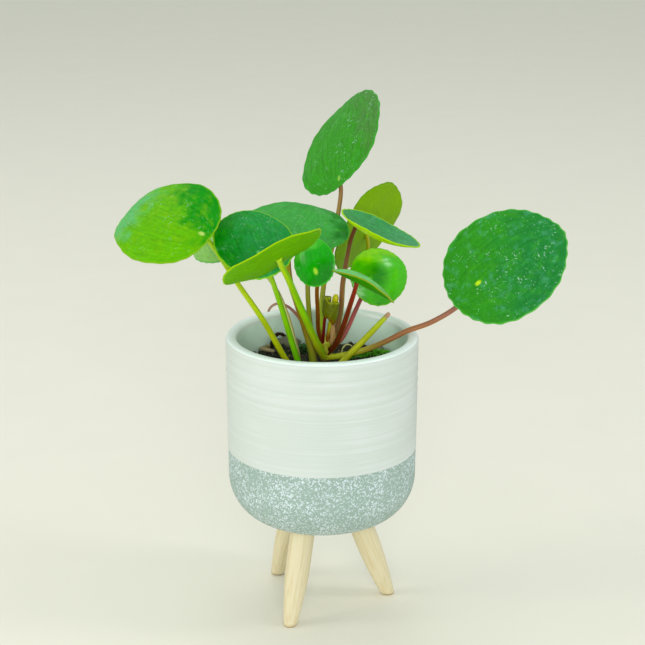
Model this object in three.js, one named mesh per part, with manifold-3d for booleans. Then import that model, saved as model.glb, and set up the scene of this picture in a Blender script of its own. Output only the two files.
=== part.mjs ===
// A young pilea in a footed ceramic pot: a round pot on three splayed wooden
// legs, filled with soil, with round leaves on long stalks from a short stem.
// Millimetres, +Z up, standing on the floor at z = 0.
import * as THREE from 'three';
import { mergeVertices } from 'three/addons/utils/BufferGeometryUtils.js';
import Module from 'manifold-3d';

const wasm = await Module();
wasm.setup();

// ---- driving dimensions ----
const clearance = 0.3;            // gap kept between pieces that touch

const potHeight = 149.5;          // rim above the floor
const potRadius = 50;             // outside of the wall, at the rim
const potBottom = 49.6;           // underside of the pot above the floor
const potBaseRadius = 27.4;       // flat part of the underside
const potCornerHeight = 24.4;     // height of the rounded lower corner
const potCornerInset = 0.6;       // the wall widens by this much from there to the rim
const potWall = 5.7;
const potFloor = 8.5;             // thickness of the pot's bottom
const potInnerRound = 20;         // rounding between the floor and the wall inside
const rimRound = 2.4;             // rounding of the lip
const potSectors = 44;

const legCircle = 38;             // feet, from the middle of the three legs
const legTopCircle = 20;          // legs where they meet the pot
const legCentreX = -1.95;         // the legs are set a little to one side
const legTopRadius = 6.1;
const legFootRadius = 3.35;
const legStraight = 0.32;         // share of the leg that keeps its full width
const tenonRadius = 3.6;          // round tenon glued into the pot's floor
const tenonLength = 5.5;
const tenonShoulder = 6;          // how far it starts inside the leg
const legSides = 16;

const soilLevel = 130;            // mean height of the soil
const soilBump = 0.8;             // fine unevenness of its surface
const rootDepth = 9;              // how far a stalk goes into the soil

const bladeHalf = 0.55;           // half the thickness of a blade at its stalk
const bladeEdgeHalf = 0.34;       // and at its margin
const bladeEgg = 0.06;            // a blade is this much wider towards its base
const bladeWave = 0.5;            // ripple of its margin
const tipWidth = 0.32;            // angle in radians over which its tip runs out
const tipReach = 0.02;            // share of the half length that the tip adds
const stemAxis = new THREE.Vector3(1.5, 3, 0);
const stemTop = 147;
const stemRadius = 2.9;

const tau = Math.PI * 2;
const vec = (p) => new THREE.Vector3(p[0], p[1], p[2]);
const rad = THREE.MathUtils.degToRad;

// ---- solids and joins ----
function geometryFrom(points, triangles) {
  const geometry = new THREE.BufferGeometry();
  geometry.setAttribute('position', new THREE.Float32BufferAttribute(points.flat(), 3));
  geometry.setIndex(triangles.flat());
  return geometry;
}

// A standard geometry as one closed skin: vertices merged, and the triangles
// without area that a lathe leaves on its axis dropped.
function closedSkin(geometry) {
  geometry.deleteAttribute('normal');
  geometry.deleteAttribute('uv');
  const merged = mergeVertices(geometry, 1e-4);
  const index = Array.from(merged.getIndex().array);
  const kept = [];
  for (let i = 0; i < index.length; i += 3) {
    const corners = index.slice(i, i + 3);
    if (new Set(corners).size === 3) kept.push(...corners);
  }
  merged.setIndex(kept);
  return merged;
}

// A profile of [radius, height] pairs turned about the Z axis.
function lathe(profile, sectors) {
  const points = profile.map(([radius, height]) => new THREE.Vector2(radius, height));
  return closedSkin(new THREE.LatheGeometry(points, sectors).rotateX(Math.PI / 2));
}

// A turned form along any axis, from pairs of distance along it and radius.
function turned(origin, direction, stations, sides) {
  const first = stations[0][0];
  const last = stations[stations.length - 1][0];
  const profile = stations.map(([along, radius]) => [radius, along]);
  const tilt = new THREE.Quaternion().setFromUnitVectors(new THREE.Vector3(0, 0, 1), direction);
  return lathe([[0, first], ...profile, [0, last]], sides)
    .applyQuaternion(tilt)
    .translate(origin.x, origin.y, origin.z);
}

function toSolid(geometry) {
  const vertProperties = new Float32Array(geometry.getAttribute('position').array);
  const triVerts = new Uint32Array(geometry.getIndex().array);
  return new wasm.Manifold(new wasm.Mesh({ numProp: 3, vertProperties, triVerts }));
}

function fromSolid(solid) {
  const mesh = solid.getMesh();
  const geometry = new THREE.BufferGeometry();
  geometry.setAttribute('position', new THREE.Float32BufferAttribute(mesh.vertProperties, 3));
  geometry.setIndex(Array.from(mesh.triVerts));
  return geometry;
}

function cut(geometry, ...cutters) {
  let solid = toSolid(geometry);
  for (const cutter of cutters) solid = solid.subtract(toSolid(cutter));
  return fromSolid(largestBody(solid));
}

// Cutting can leave a loose crumb beside the piece; only the piece is kept.
function largestBody(solid) {
  const bodies = solid.decompose();
  bodies.sort((a, b) => b.volume() - a.volume());
  return bodies[0];
}

// Closed skin through rings of equal size, capped at both ends by a centre point.
function loft(rings, startPoint, endPoint) {
  const size = rings[0].length;
  const points = [startPoint, ...rings.flat(), endPoint];
  const triangles = [];
  const at = (ring, i) => 1 + ring * size + (i % size);
  for (let i = 0; i < size; i++) {
    triangles.push([0, at(0, i + 1), at(0, i)]);
    for (let r = 0; r + 1 < rings.length; r++) {
      triangles.push([at(r, i), at(r, i + 1), at(r + 1, i + 1)]);
      triangles.push([at(r, i), at(r + 1, i + 1), at(r + 1, i)]);
    }
    triangles.push([points.length - 1, at(rings.length - 1, i), at(rings.length - 1, i + 1)]);
  }
  return geometryFrom(points, triangles);
}

// A round stalk along a smooth curve; grow widens and lengthens it for a socket.
function stalkSkin(spec, grow = 0) {
  const path = spec.path.map(vec);
  if (spec.inSoil) {
    const down = path[0].clone().sub(path[1]).normalize();
    path.unshift(path[0].clone().addScaledVector(down, (spec.root ?? rootDepth) + grow));
  }
  const curve = new THREE.CatmullRomCurve3(path, false, 'centripetal');
  const steps = spec.steps ?? 14;
  const sides = spec.sides ?? 8;
  const frames = curve.computeFrenetFrames(steps, false);
  const rings = [];
  for (let s = 0; s <= steps; s++) {
    const share = s / steps;
    const centre = curve.getPointAt(share);
    const radius = THREE.MathUtils.lerp(spec.base, spec.top, share) / 2 + grow;
    const ring = [];
    for (let i = 0; i < sides; i++) {
      const angle = (i / sides) * tau;
      const point = centre.clone()
        .addScaledVector(frames.normals[s], radius * Math.cos(angle))
        .addScaledVector(frames.binormals[s], radius * Math.sin(angle));
      ring.push(point.toArray());
    }
    rings.push(ring);
  }
  const start = curve.getPointAt(0).addScaledVector(frames.tangents[0], -grow);
  const tip = spec.tip ?? 0.35 * spec.top;
  const end = curve.getPointAt(1).addScaledVector(frames.tangents[steps], tip + grow);
  return loft(rings, start.toArray(), end.toArray());
}

// ---- pot, legs and soil ----
function potProfile() {
  const inner = potRadius - potWall;
  const top = potHeight - rimRound;
  const profile = [[0, potBottom], [potBaseRadius, potBottom]];
  const cornerSteps = 7;
  for (let i = 1; i <= cornerSteps; i++) {
    const a = (i / cornerSteps) * Math.PI / 2;
    const reach = potRadius - potCornerInset - potBaseRadius;
    profile.push([
      potBaseRadius + reach * Math.sin(a),
      potBottom + potCornerHeight * (1 - Math.cos(a)),
    ]);
  }
  profile.push([potRadius, top]);
  for (const a of [35, 70]) {
    profile.push([
      potRadius - rimRound * (1 - Math.cos(rad(a))),
      top + rimRound * Math.sin(rad(a)),
    ]);
  }
  for (const a of [110, 145, 180]) {
    profile.push([
      inner + rimRound * (1 + Math.cos(rad(a))),
      top + rimRound * Math.sin(rad(a)),
    ]);
  }
  return [...profile, ...innerProfile(0)];
}

// The inside of the pot from the wall down to the middle of its floor.
function innerProfile(gap) {
  const inner = potRadius - potWall - gap;
  const floor = potBottom + potFloor + gap;
  const profile = [];
  for (const a of [0, 30, 60, 90]) {
    profile.push([
      inner - potInnerRound * (1 - Math.cos(rad(a))),
      floor + potInnerRound * (1 - Math.sin(rad(a))),
    ]);
  }
  profile.push([0, floor]);
  return profile;
}

const legAzimuths = { leg_front: -113, leg_right: 7, leg_back: 127 };

// The leg's axis from its foot to the underside of the pot.
function legAxis(azimuth) {
  const a = rad(azimuth);
  const foot = new THREE.Vector3(
    legCentreX + legCircle * Math.cos(a), legCircle * Math.sin(a), 0);
  const top = new THREE.Vector3(
    legCentreX + legTopCircle * Math.cos(a), legTopCircle * Math.sin(a), potBottom);
  return { foot, direction: top.clone().sub(foot).normalize(), length: top.distanceTo(foot) };
}

// The shaft is cut level at the floor and under the pot; the tenon goes on up.
function legBody(azimuth) {
  const { foot, direction, length } = legAxis(azimuth);
  const stations = [];
  const taperSteps = 6;
  for (let i = -1; i <= taperSteps; i++) {
    const share = i / taperSteps;
    const along = share * length * (1 - legStraight);
    const swell = Math.sin(Math.max(0, share) * Math.PI / 2) ** 0.9;
    stations.push([along, THREE.MathUtils.lerp(legFootRadius, legTopRadius, swell)]);
  }
  stations.push([length + tenonShoulder, legTopRadius]);
  const shaft = toSolid(turned(foot, direction, stations, legSides));
  const slabHeight = potBottom - clearance;
  const slab = closedSkin(new THREE.BoxGeometry(3 * potRadius, 3 * potRadius, slabHeight)
    .translate(0, 0, slabHeight / 2));
  const tenon = toSolid(turned(foot, direction, [
    [length - tenonShoulder, tenonRadius], [length + tenonLength, tenonRadius]], legSides));
  return fromSolid(shaft.intersect(toSolid(slab)).add(tenon));
}

function legSocket(azimuth) {
  const { foot, direction, length } = legAxis(azimuth);
  const radius = tenonRadius + clearance;
  return turned(foot, direction, [
    [length - tenonShoulder, radius], [length + tenonLength + clearance, radius]], legSides);
}

// Lumps of the soil's surface: a few broad mounds and a finer unevenness.
const mounds = [
  { x: -19, y: 26, height: 4.5, spread: 9 },
  { x: -36, y: 12, height: 3, spread: 8 },
  { x: 27, y: 19, height: 2.5, spread: 9 },
  { x: -6, y: 22, height: 2.5, spread: 8 },
  { x: 6, y: -24, height: 2, spread: 12 },
  { x: 18, y: 34, height: 1.5, spread: 7 },
];

function soilHeight(x, y) {
  let height = soilLevel;
  for (const mound of mounds) {
    const away = Math.hypot(x - mound.x, y - mound.y) / mound.spread;
    height += mound.height * Math.exp(-away * away);
  }
  const ripple = Math.sin(x * 0.61 + 1.3) * Math.cos(y * 0.53 - 0.4)
    + 0.6 * Math.sin(x * 1.07 - y * 0.83) + 0.4 * Math.cos(x * 0.37 + y * 1.31);
  return height + soilBump * ripple;
}

// The filling: it follows the pot's inside, and its surface follows soilHeight.
function soilBody(cutters) {
  const inside = innerProfile(clearance).reverse();
  const radius = inside[inside.length - 1][0];
  const shares = [1, 0.86, 0.72, 0.58, 0.44, 0.3, 0.16];
  const rings = [];
  const ringAt = (reach, height) => {
    const ring = [];
    for (let i = 0; i < potSectors; i++) {
      const a = (i / potSectors) * tau;
      const x = reach * Math.cos(a);
      const y = reach * Math.sin(a);
      ring.push([x, y, height ?? soilHeight(x, y)]);
    }
    return ring;
  };
  for (const [reach, height] of inside.slice(1)) rings.push(ringAt(reach, height));
  for (const share of shares) rings.push(ringAt(radius * share));
  const bottom = [0, 0, inside[0][1]];
  return cut(loft(rings, bottom, [0, 0, soilHeight(0, 0)]), ...cutters);
}

// ---- the plant ----
// The short woody stem, thicker where the stalks leave it.
function stemSkin(grow = 0) {
  const stations = [
    [soilLevel - rootDepth - grow, 1.6], [soilLevel - 2, 2.2], [soilLevel + 4, 2.3],
    [soilLevel + 7, stemRadius], [stemTop - 4, stemRadius], [stemTop - 1, 2.2],
    [stemTop + grow, 1.2],
  ];
  const grown = stations.map(([along, radius]) => [along, radius + grow]);
  return turned(stemAxis, new THREE.Vector3(0, 0, 1), grown, 12);
}

// A blade is a round plate that its stalk meets off centre, at the origin of
// its own frame: x to the tip, z up out of the top face. lean and leanTo say how
// far the face tips from level and towards which side; tipTo is where the tip
// points, seen from above. dome bends the plate down along and across its length.
function bladeFrame(leaf) {
  const face = new THREE.Vector3(
    Math.sin(rad(leaf.lean)) * Math.cos(rad(leaf.leanTo)),
    Math.sin(rad(leaf.lean)) * Math.sin(rad(leaf.leanTo)),
    Math.cos(rad(leaf.lean)));
  const tip = new THREE.Vector3(Math.cos(rad(leaf.tipTo)), Math.sin(rad(leaf.tipTo)), 0);
  tip.addScaledVector(face, -tip.dot(face)).normalize();
  const side = new THREE.Vector3().crossVectors(face, tip);
  return new THREE.Matrix4().makeBasis(tip, side, face).setPosition(vec(leaf.at));
}

function bladeHeight(leaf, x, y) {
  const half = leaf.length / 2;
  const centre = leaf.offset * leaf.length;
  const bend = (u, v) => (leaf.dome[0] * u * u + leaf.dome[1] * v * v) / half;
  const reach = Math.hypot((x - centre) / half, y / (leaf.width / 2));
  const turn = Math.atan2(y, x - centre);
  const wave = (leaf.wave ?? bladeWave) * reach ** 3 * Math.sin(5 * turn + leaf.lean);
  return bend(-centre, 0) - bend(x - centre, y) + wave;
}

// A blade runs out to a blunt point, not always in line with its stalk.
function pointAt(leaf, angle) {
  const turn = angle - rad(leaf.pointTurn ?? 0);
  const away = Math.atan2(Math.sin(turn), Math.cos(turn)) / tipWidth;
  return (leaf.point ?? tipReach) * Math.exp(-away * away);
}

// The plate: rings round the blade's middle, offset to both sides of its curve.
function bladeSkin(leaf, grow = 0) {
  const isLarge = leaf.length > 30;
  const sectors = isLarge ? 36 : 28;
  const shares = isLarge ? [0.35, 0.66, 0.88, 1] : [0.4, 0.75, 1];
  const half = leaf.length / 2;
  const centre = leaf.offset * leaf.length;
  const place = bladeFrame(leaf);
  const top = [];
  const bottom = [];
  const slope = 0.01;
  const offsetPoint = (x, y, away) => {
    const z = bladeHeight(leaf, x, y);
    const dx = (bladeHeight(leaf, x + slope, y) - z) / slope;
    const dy = (bladeHeight(leaf, x, y + slope) - z) / slope;
    const normal = new THREE.Vector3(-dx, -dy, 1).normalize();
    return new THREE.Vector3(x, y, z).addScaledVector(normal, away).applyMatrix4(place).toArray();
  };
  for (const share of shares) {
    const away = THREE.MathUtils.lerp(bladeHalf, bladeEdgeHalf, share ** 3) + grow;
    const upper = [];
    const lower = [];
    for (let i = 0; i < sectors; i++) {
      const a = (i / sectors) * tau;
      const egg = 1 - bladeEgg * Math.cos(a) * share;
      const pointed = pointAt(leaf, a) * share ** 2;
      const reach = share * (1 + pointed) + (share === 1 ? grow / half : 0);
      const x = centre + half * reach * Math.cos(a);
      const y = (leaf.width / 2) * reach * egg * Math.sin(a);
      upper.push(offsetPoint(x, y, away));
      lower.push(offsetPoint(x, y, -away));
    }
    top.push(upper);
    bottom.push(lower);
  }
  return pairedSkin(top, bottom,
    offsetPoint(centre, 0, bladeHalf + grow), offsetPoint(centre, 0, -bladeHalf - grow));
}

// Two faces with the same triangles, joined at their outer ring.
function pairedSkin(top, bottom, topCentre, bottomCentre) {
  const size = top[0].length;
  const count = top.length * size;
  const points = [...top.flat(), ...bottom.flat(), topCentre, bottomCentre];
  const triangles = [];
  const at = (ring, i) => ring * size + (i % size);
  for (let i = 0; i < size; i++) {
    const faces = [[2 * count, at(0, i), at(0, i + 1)]];
    for (let r = 0; r + 1 < top.length; r++) {
      faces.push([at(r, i), at(r + 1, i), at(r + 1, i + 1)]);
      faces.push([at(r, i), at(r + 1, i + 1), at(r, i + 1)]);
    }
    for (const [a, b, c] of faces) {
      const under = (v) => (v === 2 * count ? v + 1 : v + count);
      triangles.push([a, b, c], [under(a), under(c), under(b)]);
    }
    const rim = top.length - 1;
    const [a, b] = [at(rim, i), at(rim, i + 1)];
    triangles.push([a, a + count, b + count], [a, b + count, b]);
  }
  return geometryFrom(points, triangles);
}

const leaves = [
  { name: 'left', at: [-59.5, -29, 210.5], lean: 36, leanTo: -124, tipTo: 137,
    length: 58.5, width: 53.5, offset: 0.41, dome: [0.16, 0.09], point: 0.05, pointTurn: 34,
    color: 0x4fae10 },
  { name: 'inner_left', at: [-31.5, -26, 199.5], lean: 41, leanTo: -71, tipTo: 114,
    length: 41.5, width: 41.5, offset: 0.2, dome: [0.22, 0.04], color: 0x1f8f35 },
  { name: 'back', at: [-17, 3, 201.6], lean: 11.7, leanTo: -67, tipTo: 78,
    length: 59.5, width: 57.5, offset: 0.23, dome: [0.07, 0.07], color: 0x2b9a3c },
  { name: 'front', at: [-21, -56, 206], lean: 39, leanTo: 139, tipTo: -144,
    length: 55.5, width: 50.5, offset: 0.06, dome: [-0.06, -0.05], color: 0x5c9a06 },
  { name: 'small', at: [-3, -25.5, 190.5], lean: 69, leanTo: -114, tipTo: 76,
    length: 25, width: 22, offset: 0.2, dome: [0.19, 0.17], wave: 0.1, color: 0x159a12 },
  { name: 'top', at: [9.4, 38, 223], lean: 54, leanTo: -157, tipTo: 57,
    length: 65, width: 61.5, offset: 0.42, dome: [0.09, 0.03], point: 0.04, pointTurn: -40, color: 0x3a9a1c },
  { name: 'inner_right', at: [17.5, -8, 209.9], lean: 23.5, leanTo: 4, tipTo: -3,
    length: 43.5, width: 43, offset: 0.27, dome: [-0.22, -0.24], wave: 0.2, color: 0x2f8f4a },
  { name: 'back_right', at: [24, 51.4, 189], lean: 66, leanTo: 143, tipTo: -45,
    length: 56, width: 52.5, offset: 0.1, dome: [-0.05, 0.03], point: 0.03, pointTurn: 30,
    color: 0x6f9a06 },
  { name: 'pale', at: [-50.5, 4, 194.5], lean: 22, leanTo: -143, tipTo: 102,
    length: 33.5, width: 31, offset: 0.2, dome: [0.12, 0.12], wave: 0.2, color: 0x7fb868 },
  { name: 'domed', at: [24.5, 10, 176], lean: 64, leanTo: -66, tipTo: 46,
    length: 32.5, width: 30.5, offset: 0.22, dome: [0.22, 0.26], wave: 0.1, color: 0x3fb80a },
  { name: 'folded', at: [17.4, -39, 188.8], lean: 29.5, leanTo: 20, tipTo: 1,
    length: 34.5, width: 29, offset: 0.1, dome: [0.04, -0.3], wave: 0.1, color: 0x4a9a20 },
  { name: 'right', at: [80.1, -6, 178.5], lean: 54, leanTo: -108, tipTo: 41,
    length: 66.5, width: 60, offset: 0.25, dome: [0.1, 0.05], point: 0.05, pointTurn: -8,
    color: 0x2a8f2e },
];

// Stalk routes run from the stem or the soil up to the blade they carry. A stalk
// that carries none is cut off, bare, drooping or a bud. Two loose bits of plant
// litter, a brown curl and a thin tendril, stand in the soil in the same way.
const stalks = [
  { name: 'stalk_left', carries: 'left', inSoil: true, base: 3.3, top: 2.3, color: 0x9cc010,
    path: [[-16, 2, 130], [-20, 1, 137], [-30, -4, 157.5], [-43, -11, 180], [-55, -22, 203]] },
  { name: 'stalk_inner_left', carries: 'inner_left', inSoil: true, base: 3.4, top: 2.3, color: 0x74bb08,
    path: [[-11, -1, 130], [-13, -2, 137], [-17, -6, 152], [-21.5, -12, 170], [-28, -20, 192]] },
  { name: 'stalk_pale', carries: 'pale', inSoil: true, base: 2, top: 1.7, color: 0xb6c864,
    path: [[-11.5, 6, 130], [-12.5, 6, 137], [-14.5, 6, 145], [-18, 6, 158], [-25, 6, 174],
      [-38, 5, 188]] },
  { name: 'stalk_front', carries: 'front', base: 4, top: 3, color: 0x8fc408, steps: 16,
    path: [[0, 0.5, 138.5], [-3.8, -8, 149.5], [-8.5, -17, 163.5], [-13, -28, 178],
      [-17, -41, 192], [-20, -51.5, 201.5]] },
  { name: 'stalk_back', carries: 'back', inSoil: true, base: 4.4, top: 2.6, color: 0x8a6a10,
    path: [[-4, -0.5, 130], [-5.3, 0, 140], [-8.5, 0.5, 152], [-12.8, 0.5, 166],
      [-16.5, 1, 178], [-17.5, 2.5, 192]] },
  { name: 'stalk_small', carries: 'small', base: 2.4, top: 2, color: 0x8a4a14,
    path: [[0.4, 3.5, 143], [-1.7, 0.8, 151], [-2.1, -6, 163], [-2.5, -15, 178], [-1.5, -21.5, 186]] },
  { name: 'stalk_top', carries: 'top', base: 3, top: 2.2, color: 0x8faa1c, steps: 18,
    path: [[1.2, 5.5, 143.5], [-0.3, 9.5, 151], [1, 18, 171], [5.5, 30, 188.5], [8.5, 36.5, 204],
      [10, 38, 216]] },
  { name: 'stalk_inner_right', carries: 'inner_right', base: 3.2, top: 2.2, color: 0x6a2a12, steps: 16,
    path: [[2.8, 3.5, 143], [7.4, 4, 150.5], [9.8, 3, 162], [10.8, 0, 177], [13, -4, 192],
      [14.8, -7, 202]] },
  { name: 'stalk_back_right', carries: 'back_right', base: 2.6, top: 2, color: 0xa9c030, steps: 16,
    path: [[2.5, 5, 141.5], [7, 9.5, 144.5], [11, 13, 149], [16, 23, 161.5], [22, 37, 174],
      [24.8, 47, 183]] },
  { name: 'stalk_domed', carries: 'domed', base: 2.5, top: 2.2, color: 0x9a3420,
    path: [[3.2, 3.5, 139.5], [9.5, 4, 144.5], [13.5, 5.5, 151], [17, 9.5, 158], [21.5, 14, 167]] },
  { name: 'stalk_folded', carries: 'folded', base: 3.2, top: 2.2, color: 0x7a2814,
    path: [[3, 1.5, 138.8], [6.6, -2.5, 143.8], [11, -11.5, 157.5], [14.3, -24, 172.5],
      [16.5, -34, 183.5]] },
  { name: 'stalk_right', carries: 'right', base: 3.2, top: 2.5, color: 0x9a5640, steps: 18,
    path: [[2, 2.5, 135.5], [8, 0.5, 137], [22.5, 0.5, 140.6], [34, -0.5, 145.9], [44, -1, 151.3],
      [56, -2, 156.2], [68.5, -3, 164.2], [77, -4, 173]] },
  { name: 'stalk_cut', inSoil: true, base: 4, top: 2.6, color: 0xb0b820, root: 5,
    path: [[6.5, -7, 130.5], [11, -7.5, 137], [22.5, -9, 150], [34, -11, 163.5]] },
  { name: 'stalk_bare', base: 2.8, top: 2.4, color: 0x7a8a14,
    path: [[0, 3.5, 140.5], [-5, 4.5, 148.5], [-7, 3.8, 164], [-7.5, 2, 182]] },
  { name: 'stalk_drooping', base: 2.2, top: 1.3, color: 0x9a5a34, steps: 18,
    path: [[0.8, 5, 137.5], [-5, 14, 143], [-10, 24, 147.4], [-14, 33.5, 150], [-19, 42.5, 151.5],
      [-24.5, 48.5, 150.9], [-28.5, 52.5, 147], [-30, 54.5, 141]] },
  { name: 'bud', base: 1.6, top: 3, color: 0xa0a818, steps: 12, tip: 2.4,
    path: [[2.6, 1.4, 145], [3.4, 0.6, 150], [5, 0.6, 158], [6.9, -0.1, 167.2]] },
  { name: 'litter_curl', inSoil: true, base: 1.6, top: 2, color: 0x2a1a14, root: 3, steps: 16,
    path: [[-27, 28, 131], [-26.5, 31, 135.5], [-23.5, 33.5, 138.6], [-20, 33.5, 137.4],
      [-18, 32, 132.5], [-17.5, 31, 128]] },
  { name: 'tendril', inSoil: true, base: 0.9, top: 0.7, color: 0xc8c070, root: 2, steps: 16,
    path: [[10.5, 22, 130.5], [11, 22.5, 134], [13, 23, 136], [15.5, 24, 135.2], [16, 25.5, 133.6]] },
];

// A stalk ends under its blade, and at the stem's surface if it grows from it.
function stalkBody(spec, stem) {
  const cutters = [];
  const route = { ...spec };
  if (spec.carries) {
    const leaf = leaves.find((item) => item.name === spec.carries);
    route.path = [...spec.path, leaf.at];
    cutters.push(bladeSkin(leaf, clearance));
  }
  if (!spec.inSoil) cutters.push(stem);
  return cut(stalkSkin(route), ...cutters);
}

// The youngest leaf is still rolled into an open scroll round its own length.
function scrollBody(grow = 0) {
  const centre = new THREE.Vector3(4.4, -4, 163.6);
  const along = new THREE.Vector3(0.1, 0.1, 1).normalize();
  const radius = 3.9;
  const height = 14;
  const half = 0.42;
  const turns = 16;
  const levels = 7;
  const turn = new THREE.Quaternion().setFromUnitVectors(new THREE.Vector3(0, 0, 1), along);
  const point = (share, level, away) => {
    const a = rad(-215 + 235 * share);
    const lift = level / levels - 0.5;
    const close = 1 - 0.35 * Math.max(0, -lift * 2) ** 2 - 0.15 * Math.abs(share - 0.5);
    const r = radius * close + away;
    const edge = 1 - 0.3 * (2 * share - 1) ** 4;
    const local = new THREE.Vector3(r * Math.cos(a), r * Math.sin(a), height * lift * edge);
    return local.applyQuaternion(turn).add(centre).toArray();
  };
  const outline = (away) => {
    const grid = [];
    for (let level = 0; level <= levels; level++) {
      for (let s = 0; s <= turns; s++) grid.push(point(s / turns, level, away));
    }
    return grid;
  };
  const points = [...outline(half + grow), ...outline(-half - grow)];
  const count = (turns + 1) * (levels + 1);
  const triangles = [];
  const at = (s, level) => level * (turns + 1) + s;
  const quad = (a, b, c, d) => triangles.push([a, b, c], [a, c, d]);
  for (let level = 0; level < levels; level++) {
    for (let s = 0; s < turns; s++) {
      const [a, b] = [at(s, level), at(s + 1, level)];
      const [c, d] = [at(s + 1, level + 1), at(s, level + 1)];
      quad(a, b, c, d);
      triangles.push([a + count, c + count, b + count], [a + count, d + count, c + count]);
    }
  }
  for (let s = 0; s < turns; s++) {
    quad(at(s + 1, 0), at(s, 0), at(s, 0) + count, at(s + 1, 0) + count);
    quad(at(s, levels), at(s + 1, levels), at(s + 1, levels) + count, at(s, levels) + count);
  }
  for (let level = 0; level < levels; level++) {
    quad(at(0, level), at(0, level + 1), at(0, level + 1) + count, at(0, level) + count);
    quad(at(turns, level + 1), at(turns, level), at(turns, level) + count,
      at(turns, level + 1) + count);
  }
  return geometryFrom(points, triangles);
}

// Its stalk stands behind it and meets its wall near the lower edge.
function youngStalk(stem) {
  const route = { base: 1.9, top: 1.5, steps: 8, tip: 0.4,
    path: [[0.5, 1, 144.5], [0.7, -1.4, 149.5], [1.3, -2.9, 157.4]] };
  return cut(stalkSkin(route), stem, scrollBody(clearance));
}

function pebbleBody(grow) {
  const centre = new THREE.Vector3(30.5, 25.5, 132.6);
  const stations = [-0.92, -0.6, 0, 0.6, 0.92].map((share) => [
    (1.9 + grow) * share, (3 + grow) * Math.sqrt(1 - share * share)]);
  return turned(centre, new THREE.Vector3(0.2, 0.1, 1).normalize(), stations, 10);
}

// ---- the assembly ----
const group = new THREE.Group();

function add(name, geometry, color, roughness) {
  const material = new THREE.MeshStandardMaterial({ color, roughness, metalness: 0 });
  geometry.computeVertexNormals();
  const mesh = new THREE.Mesh(geometry, material);
  mesh.name = name;
  group.add(mesh);
  return mesh;
}

const sockets = Object.values(legAzimuths).map(legSocket);
add('pot', cut(lathe(potProfile(), potSectors), ...sockets), 0xdfe8e2, 0.55);
for (const [name, azimuth] of Object.entries(legAzimuths)) {
  add(name, legBody(azimuth), 0xe0d6b4, 0.6);
}

const soilHoles = stalks.filter((spec) => spec.inSoil).map((spec) => stalkSkin(spec, clearance));
add('soil', soilBody([stemSkin(clearance), pebbleBody(clearance), ...soilHoles]), 0x2c2a24, 0.95);

const stemSocket = stemSkin(clearance);
add('stem', stemSkin(), 0x8a9a2c, 0.6);

for (const spec of stalks) {
  add(spec.name, stalkBody(spec, stemSocket), spec.color, 0.5);
}
add('stalk_young', youngStalk(stemSocket), 0x6a1414, 0.5);
for (const leaf of leaves) {
  add(`leaf_${leaf.name}`, bladeSkin(leaf), leaf.color, 0.45);
}
add('leaf_young', scrollBody(), 0x556a0c, 0.5);
add('pebble', pebbleBody(0), 0x8a8478, 0.8);

// The floor point under the middle of the whole plant is the origin.
group.updateMatrixWorld(true);
const middle = new THREE.Box3().setFromObject(group, true).getCenter(new THREE.Vector3());
group.position.set(-middle.x, -middle.y, 0);
group.updateMatrixWorld(true);

export default group;
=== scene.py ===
# A young pilea in a footed stoneware pot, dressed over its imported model.
# Lengths are in millimetres round the pot's axis until a piece is built.
import math
import random

import bpy
import numpy as np
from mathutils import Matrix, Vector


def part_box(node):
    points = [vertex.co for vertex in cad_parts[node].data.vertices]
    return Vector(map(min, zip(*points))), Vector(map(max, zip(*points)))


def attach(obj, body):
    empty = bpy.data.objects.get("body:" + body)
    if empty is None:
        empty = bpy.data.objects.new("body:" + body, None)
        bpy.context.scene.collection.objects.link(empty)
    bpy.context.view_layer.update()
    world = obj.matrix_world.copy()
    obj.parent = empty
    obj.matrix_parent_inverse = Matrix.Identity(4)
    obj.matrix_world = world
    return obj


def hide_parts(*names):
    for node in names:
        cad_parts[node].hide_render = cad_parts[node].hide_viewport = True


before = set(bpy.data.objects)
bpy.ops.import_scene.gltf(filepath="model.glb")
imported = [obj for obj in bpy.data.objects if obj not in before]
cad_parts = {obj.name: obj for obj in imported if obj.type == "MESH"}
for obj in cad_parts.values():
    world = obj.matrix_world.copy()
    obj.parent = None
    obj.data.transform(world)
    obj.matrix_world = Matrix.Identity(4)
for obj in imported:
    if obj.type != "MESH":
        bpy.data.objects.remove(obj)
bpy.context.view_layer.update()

mm = 0.001
tau = 2 * math.pi
potLow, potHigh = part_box("pot")
potAxis = np.array([(potLow[0] + potHigh[0]) / 2, (potLow[1] + potHigh[1]) / 2, 0.0])


def linear(hexColour):
    parts = [int(hexColour[i:i + 2], 16) / 255 for i in (1, 3, 5)]
    return tuple(c / 12.92 if c <= 0.04045 else ((c + 0.055) / 1.055) ** 2.4 for c in parts) + (1.0,)


def addNode(tree, kind, settings, inputs):
    node = tree.nodes.new("ShaderNode" + kind)
    for name, value in settings.items():
        setattr(node, name, value)
    for socket, value in inputs.items():
        if isinstance(value, bpy.types.NodeSocket):
            tree.links.new(value, node.inputs[socket])
        else:
            node.inputs[socket].default_value = value
    return node


# The colour between two others, by a share from 0 to 1.
def mixed(tree, share, first, second):
    return addNode(tree, "Mix", {"data_type": "RGBA"}, {0: share, 6: first, 7: second}).outputs[2]


# A value carried from one range to another, and held at the ends.
def ranged(tree, value, given, wanted=(0.0, 1.0), isSoft=False):
    settings = {"interpolation_type": "SMOOTHSTEP"} if isSoft else {}
    return addNode(tree, "MapRange", settings, {"Value": value, "From Min": given[0], "From Max": given[1],
                                                "To Min": wanted[0], "To Max": wanted[1]}).outputs[0]


def reckoned(tree, operation, *values):
    return addNode(tree, "Math", {"operation": operation}, dict(enumerate(values))).outputs[0]


def moved(tree, operation, place, other):
    return addNode(tree, "VectorMath", {"operation": operation}, {0: place, 1: other}).outputs[0]


def shaded(tree, colour, value):
    return addNode(tree, "HueSaturation", {}, {"Color": colour, "Value": value}).outputs[0]


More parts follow.
